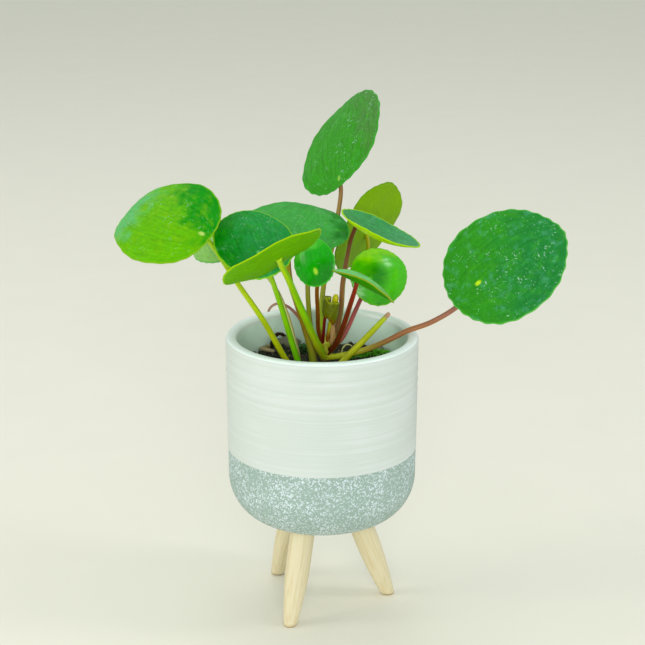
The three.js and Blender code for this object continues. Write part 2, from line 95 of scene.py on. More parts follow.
# Cloudy noise whose lumps are as wide as said, in the units of its place.
def cloudy(tree, place, width, detail, roughness=0.5, distortion=0.0):
    return addNode(tree, "TexNoise", {}, {"Vector": place, "Scale": 1 / width, "Detail": detail,
                                          "Roughness": roughness, "Distortion": distortion}).outputs[0]


# Short marks in cells turned one way: each cell's luck says how large its mark is, crowd how many show.
def laidMarks(tree, place, shift, turnDegrees, spacing, luckFrom, largest, crowd, softness, strength):
    laid = addNode(tree, "Mapping", {"vector_type": "TEXTURE"},
                   {"Vector": place, "Location": shift, "Rotation": (0, 0, math.radians(turnDegrees)),
                    "Scale": (*spacing, 1)})
    cells = addNode(tree, "TexVoronoi", {"voronoi_dimensions": "2D"},
                    {"Vector": laid.outputs[0], "Scale": 1.0})
    luck = addNode(tree, "SeparateColor", {}, {"Color": cells.outputs["Color"]}).outputs[0]
    size = reckoned(tree, "MULTIPLY", ranged(tree, luck, (luckFrom, 1.0), (0.0, largest)), crowd)
    inside = reckoned(tree, "SUBTRACT", size, cells.outputs["Distance"])
    return ranged(tree, inside, (0.0, softness), (0.0, strength))


# A soft round patch on a blade: strongest at its middle, gone at the second radius.
def roundPatch(tree, place, centre, squash, radii, strength):
    flat = moved(tree, "MULTIPLY", moved(tree, "SUBTRACT", place, centre), squash)
    away = addNode(tree, "VectorMath", {"operation": "LENGTH"}, {0: flat}).outputs["Value"]
    return ranged(tree, away, radii, (strength, 0.0), isSoft=True)


def storedPlace(tree, name):
    return addNode(tree, "Attribute", {"attribute_name": name}, {}).outputs["Vector"]


def objectPlace(tree):
    return addNode(tree, "TexCoord", {}, {}).outputs["Object"]


def threeParts(tree, place):
    return addNode(tree, "SeparateXYZ", {}, {"Vector": place}).outputs


def newMaterial(name):
    material = bpy.data.materials.new(name)
    material.use_nodes = True
    material.node_tree.nodes.clear()
    return material, material.node_tree


def surface(tree, inputs):
    shader = addNode(tree, "BsdfPrincipled", {}, inputs)
    addNode(tree, "OutputMaterial", {}, {"Surface": shader.outputs[0]})


# Quads over rows of points; a closed grid joins its last column to its first.
def gridFaces(rows, columns, closed=True):
    across = columns if closed else columns - 1
    row, column = np.meshgrid(np.arange(rows - 1), np.arange(across), indexing="ij")
    first = row * columns + column
    second = row * columns + (column + 1) % columns
    return np.stack([first, second, second + columns, first + columns], -1).reshape(-1, 4).tolist()


# The grid of a round body, with a flat face over each open end.
def cappedFaces(rows, sides):
    faces = gridFaces(rows, sides)
    faces.append(list(range(sides))[::-1])
    faces.append([(rows - 1) * sides + i for i in range(sides)])
    return faces


# Two sheets of one grid, the second behind the first, joined round their rim.
def sheetFaces(rows, columns):
    count = rows * columns
    faces = gridFaces(rows, columns, closed=False)
    faces += [[i + count for i in face[::-1]] for face in faces]
    rim = list(range(columns)) + [r * columns + columns - 1 for r in range(1, rows)]
    rim += [(rows - 1) * columns + i for i in range(columns - 2, -1, -1)]
    rim += [r * columns for r in range(rows - 2, 0, -1)]
    for i, j in zip(rim, rim[1:] + rim[:1]):
        faces.append([j, i, i + count, j + count])
    return faces


# A closed skin turned inside out is put right by the sign of its volume.
def facesOutward(points, faces):
    volume = 0.0
    for face in faces:
        a = points[face[0]]
        for i in range(1, len(face) - 1):
            volume += np.dot(a, np.cross(points[face[i]], points[face[i + 1]]))
    return faces if volume > 0 else [face[::-1] for face in faces]


def buildPiece(name, points, faces, materials, slots=None, values=None, isClosed=True, isSmooth=True):
    points = np.asarray(points, float)
    if isClosed:
        faces = facesOutward(points - points.mean(0), faces)
    mesh = bpy.data.meshes.new(name)
    mesh.from_pydata((points * mm + potAxis).tolist(), [], faces)
    for material in materials:
        mesh.materials.append(material)
    if slots is not None:
        mesh.polygons.foreach_set("material_index", np.asarray(slots, np.int32))
    for key, data in (values or {}).items():
        data = np.asarray(data, np.float32)
        layer = mesh.attributes.new(key, "FLOAT_VECTOR" if data.ndim == 2 else "FLOAT", "POINT")
        layer.data.foreach_set("vector" if data.ndim == 2 else "value", data.ravel())
    if isSmooth:
        mesh.shade_smooth()
    piece = bpy.data.objects.new(name, mesh)
    bpy.context.scene.collection.objects.link(piece)
    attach(piece, "root")
    return piece


def standsFor(piece, node):
    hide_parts(node)


# Uneven fields from a few sines with fixed phases, so that each run is the same.
def ripples(x, y, z, size, seed):
    luck = random.Random(seed)
    total = np.zeros_like(np.asarray(x, float))
    for _ in range(7):
        turn = luck.uniform(0, tau)
        lift = luck.uniform(-1, 1)
        pace = luck.uniform(0.6, 1.6) * tau / size
        flat = math.sqrt(1 - lift * lift)
        along = x * flat * math.cos(turn) + y * flat * math.sin(turn) + z * lift
        total = total + np.sin(along * pace + luck.uniform(0, tau))
    return total / 4


# A centripetal Catmull-Rom curve through the points, in even steps of its length.
def smoothPath(points, steps):
    given = np.asarray(points, float)
    given = np.vstack([2 * given[0] - given[1], given, 2 * given[-1] - given[-2]])
    dense = []
    for p0, p1, p2, p3 in zip(given, given[1:], given[2:], given[3:]):
        d0, d1, d2 = [np.linalg.norm(b - a) ** 0.5 for a, b in ((p0, p1), (p1, p2), (p2, p3))]
        leave = ((p1 - p0) / d0 - (p2 - p0) / (d0 + d1) + (p2 - p1) / d1) * d1
        meet = ((p2 - p1) / d1 - (p3 - p1) / (d1 + d2) + (p3 - p2) / d2) * d1
        t = np.linspace(0, 1, 40, endpoint=False)[:, None]
        dense.append(p1 + leave * t + (3 * (p2 - p1) - 2 * leave - meet) * t ** 2
                     + (2 * (p1 - p2) + leave + meet) * t ** 3)
    dense = np.vstack(dense + [given[-2:-1]])
    reach = np.concatenate([[0], np.cumsum(np.linalg.norm(np.diff(dense, axis=0), axis=1))])
    wanted = np.linspace(0, reach[-1], steps)
    centres = np.stack([np.interp(wanted, reach, dense[:, i]) for i in range(3)], -1)
    return centres, reach[-1]


# Two directions square to the path at each step, carried along without twist.
def pathFrames(centres):
    tangents = np.gradient(centres, axis=0)
    tangents /= np.linalg.norm(tangents, axis=1)[:, None]
    normal = np.cross(tangents[0], [0.3, 1, 0.2])
    normals = []
    for tangent in tangents:
        normal = normal - tangent * np.dot(normal, tangent)
        normal = normal / np.linalg.norm(normal)
        normals.append(normal)
    normals = np.array(normals)
    return tangents, normals, np.cross(tangents, normals)


# A tube whose radius is given for every step and side; its ends are closed flat.
def tube(centres, radius, sides):
    tangents, normals, others = pathFrames(centres)
    angle = np.arange(sides) / sides * tau
    ring = normals[:, None] * np.cos(angle)[None, :, None] + others[:, None] * np.sin(angle)[None, :, None]
    points = centres[:, None] + ring * radius[:, :, None]
    return points.reshape(-1, 3), cappedFaces(len(centres), sides), angle


print("stage: stoneware pot")
pot = {
    "height": 149.5, "radius": 50, "bottom": 49.6, "baseRadius": 27.4, "cornerHeight": 24.4,
    "cornerInset": 0.6, "wall": 5.7, "floor": 8.5, "innerRound": 20, "rimRound": 2.4,
    "sectors": 168,
    "glazeLine": 88.6,          # where the white slip stops
    "slipStep": 0.22,           # thickness of the slip over the bare body
    "throwPitch": 1.75, "throwDepth": 0.018,    # fine throwing lines
    "waveBand": (117, 146), "wavePitch": 5.2, "waveDepth": 0.14,    # finger grooves under the lip
    "waveFade": (9, 2),         # the height over which they fade in below and out above
    "calmTop": 147.1,           # no relief from here up
    "skinInset": 0.1,           # the outer skin lies this far in, so that its relief stays on the body
    "slip": "#d0d8d4", "slipShade": "#cad3cd", "body": "#9cb2a8", "bodyShade": "#8ea69c",
    "fleck": "#dce8f0", "inside": "#e6fff2", "lip": "#e8f4f0",
    "fleckLength": 3.4, "fleckWidth": 1.05,     # spacing that leaves dashes 2 mm by 0.6 mm
    "fleckTurns": (12, 40, 66, 93, 121, 150), "fleckCover": 0.92,
    "lipBand": (143.5, 148.2),      # where the inner glaze turns into the paler lip
    "slipRoughness": 0.62, "bodyRoughness": 0.7, "insideRoughness": 0.3,
}


def potStations():
    outer = []
    for share in np.linspace(0, 1, 12, endpoint=False):
        outer.append((pot["baseRadius"] * share, pot["bottom"]))
    reach = pot["radius"] - pot["cornerInset"] - pot["baseRadius"]
    for a in np.linspace(0, math.pi / 2, 44):
        outer.append((pot["baseRadius"] + reach * math.sin(a),
                      pot["bottom"] + pot["cornerHeight"] * (1 - math.cos(a))))
    cornerTop = pot["bottom"] + pot["cornerHeight"]
    top = pot["height"] - pot["rimRound"]
    line = pot["glazeLine"]
    heights = list(np.linspace(cornerTop, line - 0.15, 20)[1:])
    heights += [line, line + 0.2] + list(np.linspace(line + 0.5, top, 190))
    for height in heights:
        widen = pot["cornerInset"] * (height - cornerTop) / (top - cornerTop)
        outer.append((pot["radius"] - pot["cornerInset"] + widen, height))
    inner = pot["radius"] - pot["wall"]
    for a in np.radians([15, 30, 45, 60, 75]):
        outer.append((pot["radius"] - pot["rimRound"] * (1 - math.cos(a)),
                      top + pot["rimRound"] * math.sin(a)))
    for a in np.radians([88, 105, 120, 135, 150, 165, 180]):
        outer.append((inner + pot["rimRound"] * (1 + math.cos(a)), top + pot["rimRound"] * math.sin(a)))
    floor = pot["bottom"] + pot["floor"]
    for height in np.linspace(top, floor + pot["innerRound"], 26)[1:]:
        outer.append((inner, height))
    for a in np.linspace(0, math.pi / 2, 10)[1:]:
        outer.append((inner - pot["innerRound"] * (1 - math.cos(a)),
                      floor + pot["innerRound"] * (1 - math.sin(a))))
    outer.append((6, floor))
    return np.array(outer)


def makePot(materials):
    stations = potStations()
    # the first ring keeps a radius of 2 mm, and a flat face closes it
    stations[0, 0] = 2
    rows = len(stations)
    angle = np.arange(pot["sectors"]) / pot["sectors"] * tau + math.pi / 2
    radius, turn = np.meshgrid(stations[:, 0], angle, indexing="ij")
    height = np.repeat(stations[:, 1:2], pot["sectors"], 1)
    lipRow = int(np.argmax(stations[:, 1]))
    isOuter = (np.arange(rows) <= lipRow)[:, None]
    above = np.clip((height - pot["glazeLine"]) / 0.2, 0, 1) * isOuter
    low, high = pot["waveBand"]
    fadeIn, fadeOut = pot["waveFade"]
    band = np.clip((height - low) / fadeIn, 0, 1) * np.clip((high - height) / fadeOut, 0, 1)
    lines = pot["throwDepth"] * np.sin(height * tau / pot["throwPitch"] + turn + 1.2 * np.sin(height * 0.23))
    waves = pot["waveDepth"] * band * np.sin(height * tau / pot["wavePitch"] + 0.5 * np.sin(height * 0.9))
    calm = np.clip((pot["calmTop"] - height) / 1.5, 0, 1)
    radius = radius + above * (calm * (lines + waves) + pot["slipStep"]) - pot["skinInset"] * isOuter
    points = np.stack([radius * np.cos(turn), radius * np.sin(turn), height], -1).reshape(-1, 3)
    lineRow = int(np.argmin(np.abs(stations[:lipRow, 1] - pot["glazeLine"])))
    rowOf = np.repeat(np.arange(rows - 1), pot["sectors"])
    slots = np.where(rowOf < lineRow, 1, np.where(rowOf < lipRow - 4, 0, 2))
    slots = np.append(slots, [1, 2])
    run = np.concatenate([[0], np.cumsum(np.hypot(*np.diff(stations, axis=0).T))])
    upward = np.repeat(run[:, None], pot["sectors"], 1)
    place = np.stack([(turn - math.pi / 2) * pot["radius"], upward, height], -1).reshape(-1, 3)
    piece = buildPiece("potBody", points, cappedFaces(rows, pot["sectors"]), materials, slots,
                       {"potPlace": place}, isClosed=False)
    standsFor(piece, "pot")


# White slip over stoneware, thrown on a wheel and fired matt: soft broad light, faint rings.
def matWhiteSlip():
    material, tree = newMaterial("thrown white slip on stoneware")
    place = storedPlace(tree, "potPlace")
    # throwing lines are about 1.2 mm apart; drawn 2.4 mm so that they show
    rings = addNode(tree, "TexNoise", {"noise_dimensions": "1D"},
                    {"W": threeParts(tree, place)["Z"], "Scale": 1 / 2.4, "Detail": 2.0})
    both = reckoned(tree, "MULTIPLY", rings.outputs[0], cloudy(tree, place, 26, 1.0))
    share = ranged(tree, both, (0.16, 0.4), isSoft=True)
    colour = mixed(tree, share, linear(pot["slipShade"]), linear(pot["slip"]))
    surface(tree, {"Base Color": colour, "Roughness": pot["slipRoughness"]})
    return material


# Grey-green stoneware with white chips pressed in and left unglazed: dry, dense short dashes.
def matFleckedStoneware():
    material, tree = newMaterial("flecked grey stoneware, unglazed")
    place = storedPlace(tree, "potPlace")
    # the chips lie in drifts some 16 mm wide
    crowd = ranged(tree, cloudy(tree, place, 16, 2.0), (0.3, 0.65), (0.72, 1.22))
    spacing = (pot["fleckLength"], pot["fleckWidth"])
    marks = 0.0
    for index, turn in enumerate(pot["fleckTurns"]):
        mark = laidMarks(tree, place, (7.3 * index, 3.1 * index, 0), turn, spacing, 0.1, 0.29, crowd,
                         0.14, 1.0)
        marks = reckoned(tree, "MAXIMUM", marks, mark)
    ground = mixed(tree, cloudy(tree, place, 14, 3.0), linear(pot["bodyShade"]), linear(pot["body"]))
    colour = mixed(tree, reckoned(tree, "MULTIPLY", marks, pot["fleckCover"]), ground, linear(pot["fleck"]))
    surface(tree, {"Base Color": colour, "Roughness": pot["bodyRoughness"]})
    return material


# Clear celadon glaze, poured inside and wiped over the lip: pale green with a wet gleam.
def matInnerGlaze():
    material, tree = newMaterial("poured celadon glaze")
    height = threeParts(tree, storedPlace(tree, "potPlace"))["Z"]
    up = ranged(tree, height, pot["lipBand"], isSoft=True)
    colour = mixed(tree, up, linear(pot["inside"]), linear(pot["lip"]))
    surface(tree, {"Base Color": colour, "Roughness": pot["insideRoughness"],
                   "Coat Weight": 0.3, "Coat Roughness": 0.2})
    return material


makePot([matWhiteSlip(), matFleckedStoneware(), matInnerGlaze()])

print("stage: turned legs")
legs = {
    "legFront": ("leg_front", -113), "legRight": ("leg_right", 7), "legBack": ("leg_back", 127),
}
leg = {
    "circle": 38, "topCircle": 20, "centreX": -1.95, "topRadius": 6.4, "footRadius": 3.35,
    "straight": 0.32, "sides": 48, "stations": 70, "cutHeight": 49.3,
    "ease": 0.6, "easeHeight": 0.8,     # how much of the foot's edge is rounded off
    "wood": "#ddd2ae", "grain": "#cfbc8a", "footDark": "#b79f6d", "footDarkHeight": 2.4,
    "grainWidth": 1.1, "grainLength": 30, "roughness": 0.55,
}


# Rubberwood, turned and sanded but not varnished: pale, with fine long grain.
def matRubberwood():
    material, tree = newMaterial("turned rubberwood, sanded")
    place = storedPlace(tree, "legPlace")
    # grain lines 0.5 mm wide, drawn twice as wide so that they show; 30 mm long
    grained = moved(tree, "MULTIPLY", place, (1 / leg["grainWidth"], 1 / leg["grainWidth"],
                                                1 / leg["grainLength"]))
    lines = ranged(tree, cloudy(tree, grained, 1.0, 3.0, distortion=0.4), (0.48, 0.8))
    colour = mixed(tree, lines, linear(leg["wood"]), linear(leg["grain"]))
    # the foot is darker over its lowest few millimetres
    foot = ranged(tree, threeParts(tree, place)["Z"], (0.0, leg["footDarkHeight"]), (0.8, 0.0), isSoft=True)
    darkFoot = mixed(tree, foot, colour, linear(leg["footDark"]))
    surface(tree, {"Base Color": darkFoot, "Roughness": leg["roughness"]})
    return material


def makeLeg(name, node, azimuth, material):
    a = math.radians(azimuth)
    foot = np.array([leg["centreX"] + leg["circle"] * math.cos(a), leg["circle"] * math.sin(a), 0])
    top = np.array([leg["centreX"] + leg["topCircle"] * math.cos(a), leg["topCircle"] * math.sin(a),
                    pot["bottom"]])
    length = np.linalg.norm(top - foot)
    direction = (top - foot) / length
    side = np.cross(direction, [0, 0, 1])
    side /= np.linalg.norm(side)
    other = np.cross(direction, side)
    share = np.linspace(0, 1, leg["stations"])
    swell = np.sin(np.clip(share / (1 - leg["straight"]), 0, 1) * math.pi / 2) ** 0.9
    radius = leg["footRadius"] + (leg["topRadius"] - leg["footRadius"]) * swell
    turn = np.arange(leg["sides"]) / leg["sides"] * tau
    ring = side[None] * np.cos(turn)[:, None] + other[None] * np.sin(turn)[:, None]
    # each ring is slid along the axis until it is level with the floor or the cut under the pot
    centre = foot + direction * (share * length)[:, None]
    points = centre[:, None] + ring[None] * radius[:, None, None]
    level = np.where(share < 0.5, 1 - share * 2, share * 2 - 1)[:, None] ** 2
    slide = (centre[:, 2][:, None] - points[:, :, 2]) * level / direction[2]
    points = points + slide[:, :, None] * direction
    span = points[:, :, 2]
    low, high = span[0].min(), span[-1].max()
    points[:, :, 2] = (span - low) * leg["cutHeight"] / (high - low)
    ease = np.clip(1 - share * length / leg["easeHeight"], 0, 1)[:, None, None] ** 2 * leg["ease"]
    points = points - ring[None] * ease
    points[:, :, 2] = np.maximum(points[:, :, 2], 0)
    local = np.stack([np.outer(radius, np.cos(turn)), np.outer(radius, np.sin(turn)),
                      np.repeat((share * length)[:, None], leg["sides"], 1)], -1)
    faces = cappedFaces(leg["stations"], leg["sides"])
    piece = buildPiece(name, points.reshape(-1, 3), faces, [material], None,
                       {"legPlace": local.reshape(-1, 3) + [azimuth, azimuth, 0]})
    standsFor(piece, node)


rubberwood = matRubberwood()
for name, (node, azimuth) in legs.items():
    makeLeg(name, node, azimuth, rubberwood)

print("stage: soil, moss and grit")
# each mound: x, y, how high it rises, how far it spreads
mounds = (
    (-19, 26, 4.5, 9), (-36, 12, 3, 8), (27, 19, 2.5, 9), (-6, 22, 2.5, 8), (6, -24, 2, 12),
    (18, 34, 1.5, 7),
)
soil = {
    "level": 130, "depth": 8, "radius": 44.0, "bump": 0.8,
    "rough": 0.75, "crumb": 2.6, "fineRough": 0.3, "fineCrumb": 1.1,    # two sizes of grain in the form
    "looseRadius": 43,          # crumbs and moss stay inside it
    "rows": 90, "sectors": 260,
    "dark": "#14140f", "mid": "#3e382c", "light": "#8a7a60", "green": "#22381c", "roughness": 0.92,
    "grainSize": 0.9,
}


def soilHeight(x, y):
    height = np.full_like(np.asarray(x, float), soil["level"])
    for mx, my, rise, spread in mounds:
        height = height + rise * np.exp(-((x - mx) ** 2 + (y - my) ** 2) / spread ** 2)
    ripple = (np.sin(x * 0.61 + 1.3) * np.cos(y * 0.53 - 0.4) + 0.6 * np.sin(x * 1.07 - y * 0.83)
              + 0.4 * np.cos(x * 0.37 + y * 1.31))
    return height + soil["bump"] * ripple


# Peat and bark compost, sieved and watered: nearly black, dull, with lighter fibres.
def matPeat():
    material, tree = newMaterial("sieved peat compost")
    place = objectPlace(tree)
    # crumbs of 0.9 mm
    fine = cloudy(tree, place, soil["grainSize"] * mm, 3.0)
    ground = mixed(tree, ranged(tree, fine, (0.38, 0.62)), linear(soil["dark"]), linear(soil["mid"]))
    fibres = mixed(tree, ranged(tree, fine, (0.6, 0.75)), ground, linear(soil["light"]))
    # damp, greener drifts of 7 mm
    damp = ranged(tree, cloudy(tree, place, 7 * mm, 2.0), (0.45, 0.62), (0.0, 0.6))
    colour = mixed(tree, damp, fibres, linear(soil["green"]))
    surface(tree, {"Base Color": colour, "Roughness": soil["roughness"]})
    return material


def makeSoil():
    share = np.linspace(0.02, 1, soil["rows"])
    angle = np.arange(soil["sectors"]) / soil["sectors"] * tau
    reach, turn = np.meshgrid(share * soil["radius"], angle, indexing="ij")
    x, y = reach * np.cos(turn), reach * np.sin(turn)
    z = soilHeight(x, y)
    z = z + soil["rough"] * ripples(x, y, 0 * x, soil["crumb"], 3)
    z = z + soil["fineRough"] * ripples(x, y, 0 * x, soil["fineCrumb"], 4)
    top = np.stack([x, y, z], -1)
    below = np.full(soil["sectors"], soil["level"] - soil["depth"])
    skirt, floor = [np.stack([x[row], y[row], below], -1)[None] for row in (-1, 0)]
    points = np.concatenate([top, skirt, floor]).reshape(-1, 3)
    faces = cappedFaces(soil["rows"] + 2, soil["sectors"])
    piece = buildPiece("soilBed", points, faces, [matPeat()], isClosed=False)
    standsFor(piece, "soil")


makeSoil()

# Loose crumbs on the soil: (count, smallest, largest, colour) for each kind, all in one piece.
crumbs = {
    "seed": 11,
    "kinds": ((620, 0.5, 1.5, "#241e17"), (150, 0.5, 1.3, "#5b4a35"), (60, 0.5, 1.2, "#a88f66"),
              (40, 0.5, 1.0, "#7c8478")),
    "roughness": 0.9,
}


# A lump with fourteen corners, each pushed in or out by its own luck.
def lump(luck, centre, size):
    points = []
    for ring, lift in ((0, 1), (6, 0.5), (6, -0.5), (0, -1)):
        if ring == 0:
            points.append((0, 0, lift * luck.uniform(0.7, 1)))
        for i in range(ring):
            a = (i + 0.5 * (lift < 0)) / ring * tau
            push = luck.uniform(0.7, 1.15)
            points.append((0.9 * push * math.cos(a), 0.9 * push * math.sin(a),
                           lift * luck.uniform(0.8, 1.1)))
    faces = []
    for i in range(6):
        j = (i + 1) % 6
        faces += [[0, 1 + i, 1 + j], [1 + i, 7 + i, 1 + j], [1 + j, 7 + i, 7 + j], [7 + i, 13, 7 + j]]
    squash = [luck.uniform(0.6, 1.3), luck.uniform(0.6, 1.3), luck.uniform(0.4, 0.8)]
    a = luck.uniform(0, tau)
    placed = []
    for x, y, z in points:
        x, y, z = x * squash[0] * size, y * squash[1] * size, z * squash[2] * size
        placed.append((centre[0] + x * math.cos(a) - y * math.sin(a),
                       centre[1] + x * math.sin(a) + y * math.cos(a), centre[2] + z))
    return placed, faces


# Bark, fibre and grit crumbs, sieved: dull, each kind in one flat colour with a little grain.
def matCrumb(name, colour):
    material, tree = newMaterial(name)
    # grain of 0.4 mm
    value = ranged(tree, cloudy(tree, objectPlace(tree), 0.4 * mm, 2.0), (0.3, 0.7), (0.65, 1.3))
    surface(tree, {"Base Color": shaded(tree, linear(colour), value), "Roughness": crumbs["roughness"]})
    return material


def makeCrumbs():
    luck = random.Random(crumbs["seed"])
    points, faces, slots, materials = [], [], [], []
    for kind, (count, smallest, largest, colour) in enumerate(crumbs["kinds"]):
        materials.append(matCrumb("compost crumb " + str(kind + 1), colour))
        for _ in range(count):
            reach = soil["looseRadius"] * math.sqrt(luck.random())
            turn = luck.uniform(0, tau)
            x, y = reach * math.cos(turn), reach * math.sin(turn)
            size = luck.uniform(smallest, largest) ** 1.4 * 0.6
            z = float(soilHeight(np.array(x), np.array(y))) + size * 0.35 + 0.2
            some, sides = lump(luck, (x, y, z), size)
            faces += [[i + len(points) for i in side] for side in sides]
            slots += [kind] * len(sides)
            points += some
    buildPiece("soilCrumbs", points, faces, materials, slots, isClosed=False, isSmooth=False)


makeCrumbs()

# Moss cushions: centre, radius, height, number of shoots, colour.
moss = {
    "seed": 5,
    "patches": (
        (24, 20, 7, 2.0, 420, "#6ccc0c"), (33, 20, 6, 1.6, 260, "#78d80e"),
        (17, 17, 4, 1.0, 110, "#4ca80a"), (-6, 33, 4, 2.2, 170, "#62b414"),
        (-10, 24, 5, 1.2, 180, "#2e7a0e"), (-31, 33, 4, 1.2, 80, "#3c7414"),
    ),
    "leafLength": 1.1, "leafWidth": 0.34, "roughness": 0.6,
}


# Cushion moss, living and damp: small bright pointed leaves that catch the light singly.
def matMoss(name, colour):
    material, tree = newMaterial(name)
    # shoots stand about 0.8 mm apart
    value = ranged(tree, cloudy(tree, objectPlace(tree), 0.8 * mm, 1.0), (0.35, 0.65), (0.35, 1.35))
    surface(tree, {"Base Color": shaded(tree, linear(colour), value), "Roughness": moss["roughness"]})
    return material


def makeMoss():
    luck = random.Random(moss["seed"])
    points, faces, slots, materials = [], [], [], []
    for kind, (cx, cy, spread, height, shoots, colour) in enumerate(moss["patches"]):
        materials.append(matMoss("cushion moss " + str(kind + 1), colour))
        for _ in range(shoots):
            reach = math.sqrt(luck.random())
            turn = luck.uniform(0, tau)
            x, y = cx + spread * reach * math.cos(turn), cy + 0.8 * spread * reach * math.sin(turn)
            if math.hypot(x, y) > soil["looseRadius"]:
                continue
            z = float(soilHeight(np.array(x), np.array(y)))
            z = z + height * (1 - reach ** 2) * luck.uniform(0.7, 1.1)
            spin = luck.uniform(0, tau)
            for leafTurn in range(5):
                a = spin + leafTurn / 5 * tau
                out = np.array([math.cos(a), math.sin(a), 0])
                across = np.array([-math.sin(a), math.cos(a), 0]) * moss["leafWidth"] / 2
                long = moss["leafLength"] * luck.uniform(0.7, 1.2)
                base = np.array([x, y, z])
                middle = base + out * long * 0.55 + [0, 0, long * 0.35]
                start = len(points)
                points += [base + across * 0.4, base - across * 0.4, middle - across, middle + across,
                           base + out * long + [0, 0, long * 0.25]]
                faces += [[start, start + 1, start + 2, start + 3], [start + 3, start + 2, start + 4]]
                slots += [kind, kind]
    buildPiece("mossCushions", points, faces, materials, slots, isClosed=False, isSmooth=False)


makeMoss()

# Larger loose bits: (name, centre, half sizes, tilt in degrees, colour, roughness of outline)
bits = {
    "peatLump": ((-17.5, 29.5, 134.2), (6.2, 6.5, 3.6), 10, "#6f6a5a", 0.16),
    "barkChip": ((-29.0, 21.0, 133.6), (4.6, 1.8, 0.9), 14, "#a3906f", 0.12),
    "barkChipLeft": ((-30.5, 27.5, 133.0), (2.6, 1.3, 0.8), -20, "#8f7a4c", 0.14),
    "tanGrit": ((-39.5, 14.0, 133.2), (1.5, 1.2, 1.0), 0, "#b08d52", 0.2),
    "tanGritBack": ((-28.0, 30.5, 132.4), (1.3, 1.1, 1.0), 0, "#b9a56e", 0.2),
    "greyGrit": ((38.0, 17.0, 132.6), (2.2, 1.7, 1.1), 8, "#8d8d84", 0.15),
}


# A rough rounded body, its skin pushed in and out by ripples.
def roughBody(centre, halves, tiltDegrees, depth, seed, rows=26, columns=36):
    lift, turn = np.meshgrid(np.linspace(-1.5, 1.5, rows), np.arange(columns) / columns * tau, indexing="ij")
    unit = np.stack([np.cos(lift) * np.cos(turn), np.cos(lift) * np.sin(turn), np.sin(lift)], -1)
    unit = unit.reshape(-1, 3)
    push = 1 + depth * (ripples(*unit.T, 1.6, seed) + 0.5 * ripples(*unit.T, 0.6, seed + 1))
    points = unit * push[:, None] * np.asarray(halves)
    tilt = math.radians(tiltDegrees)
    turned = points.copy()
    turned[:, 0] = points[:, 0] * math.cos(tilt) + points[:, 2] * math.sin(tilt)
    turned[:, 2] = -points[:, 0] * math.sin(tilt) + points[:, 2] * math.cos(tilt)
    return turned + centre, cappedFaces(rows, columns)


def makeBits():
    for index, (name, (centre, halves, tilt, colour, depth)) in enumerate(bits.items()):
        points, faces = roughBody(np.array(centre), halves, tilt, depth, 20 + index)
        buildPiece(name, points, faces, [matCrumb("dry " + name, colour)])


makeBits()

# Limestone pebble, tumbled: smooth dull grey.
pebble = {
    "centre": (30.5, 25.5, 132.6), "halves": (3, 3, 1.9), "tilt": 11, "colour": "#8f8b80", "depth": 0.05,
}
points, faces = roughBody(np.array(pebble["centre"]), pebble["halves"], pebble["tilt"], pebble["depth"], 40)
piece = buildPiece("pebbleGrey", points, faces, [matCrumb("tumbled limestone", pebble["colour"])])
standsFor(piece, "pebble")

print("stage: stem and stalks")

# The blades are described first, because the stalks end where they begin.
# What a blade has where its own entry doesn't say otherwise.
usualBlade = {
    "wave": 0.5, "point": 0.02, "pointTurn": 0, "scallop": 0.14,
    "warm": "#4c9c08", "warmth": 0.35, "bloom": 0.22, "bloomColour": "#6cb880", "mottle": 0.3, "gloss": 0.05,
}
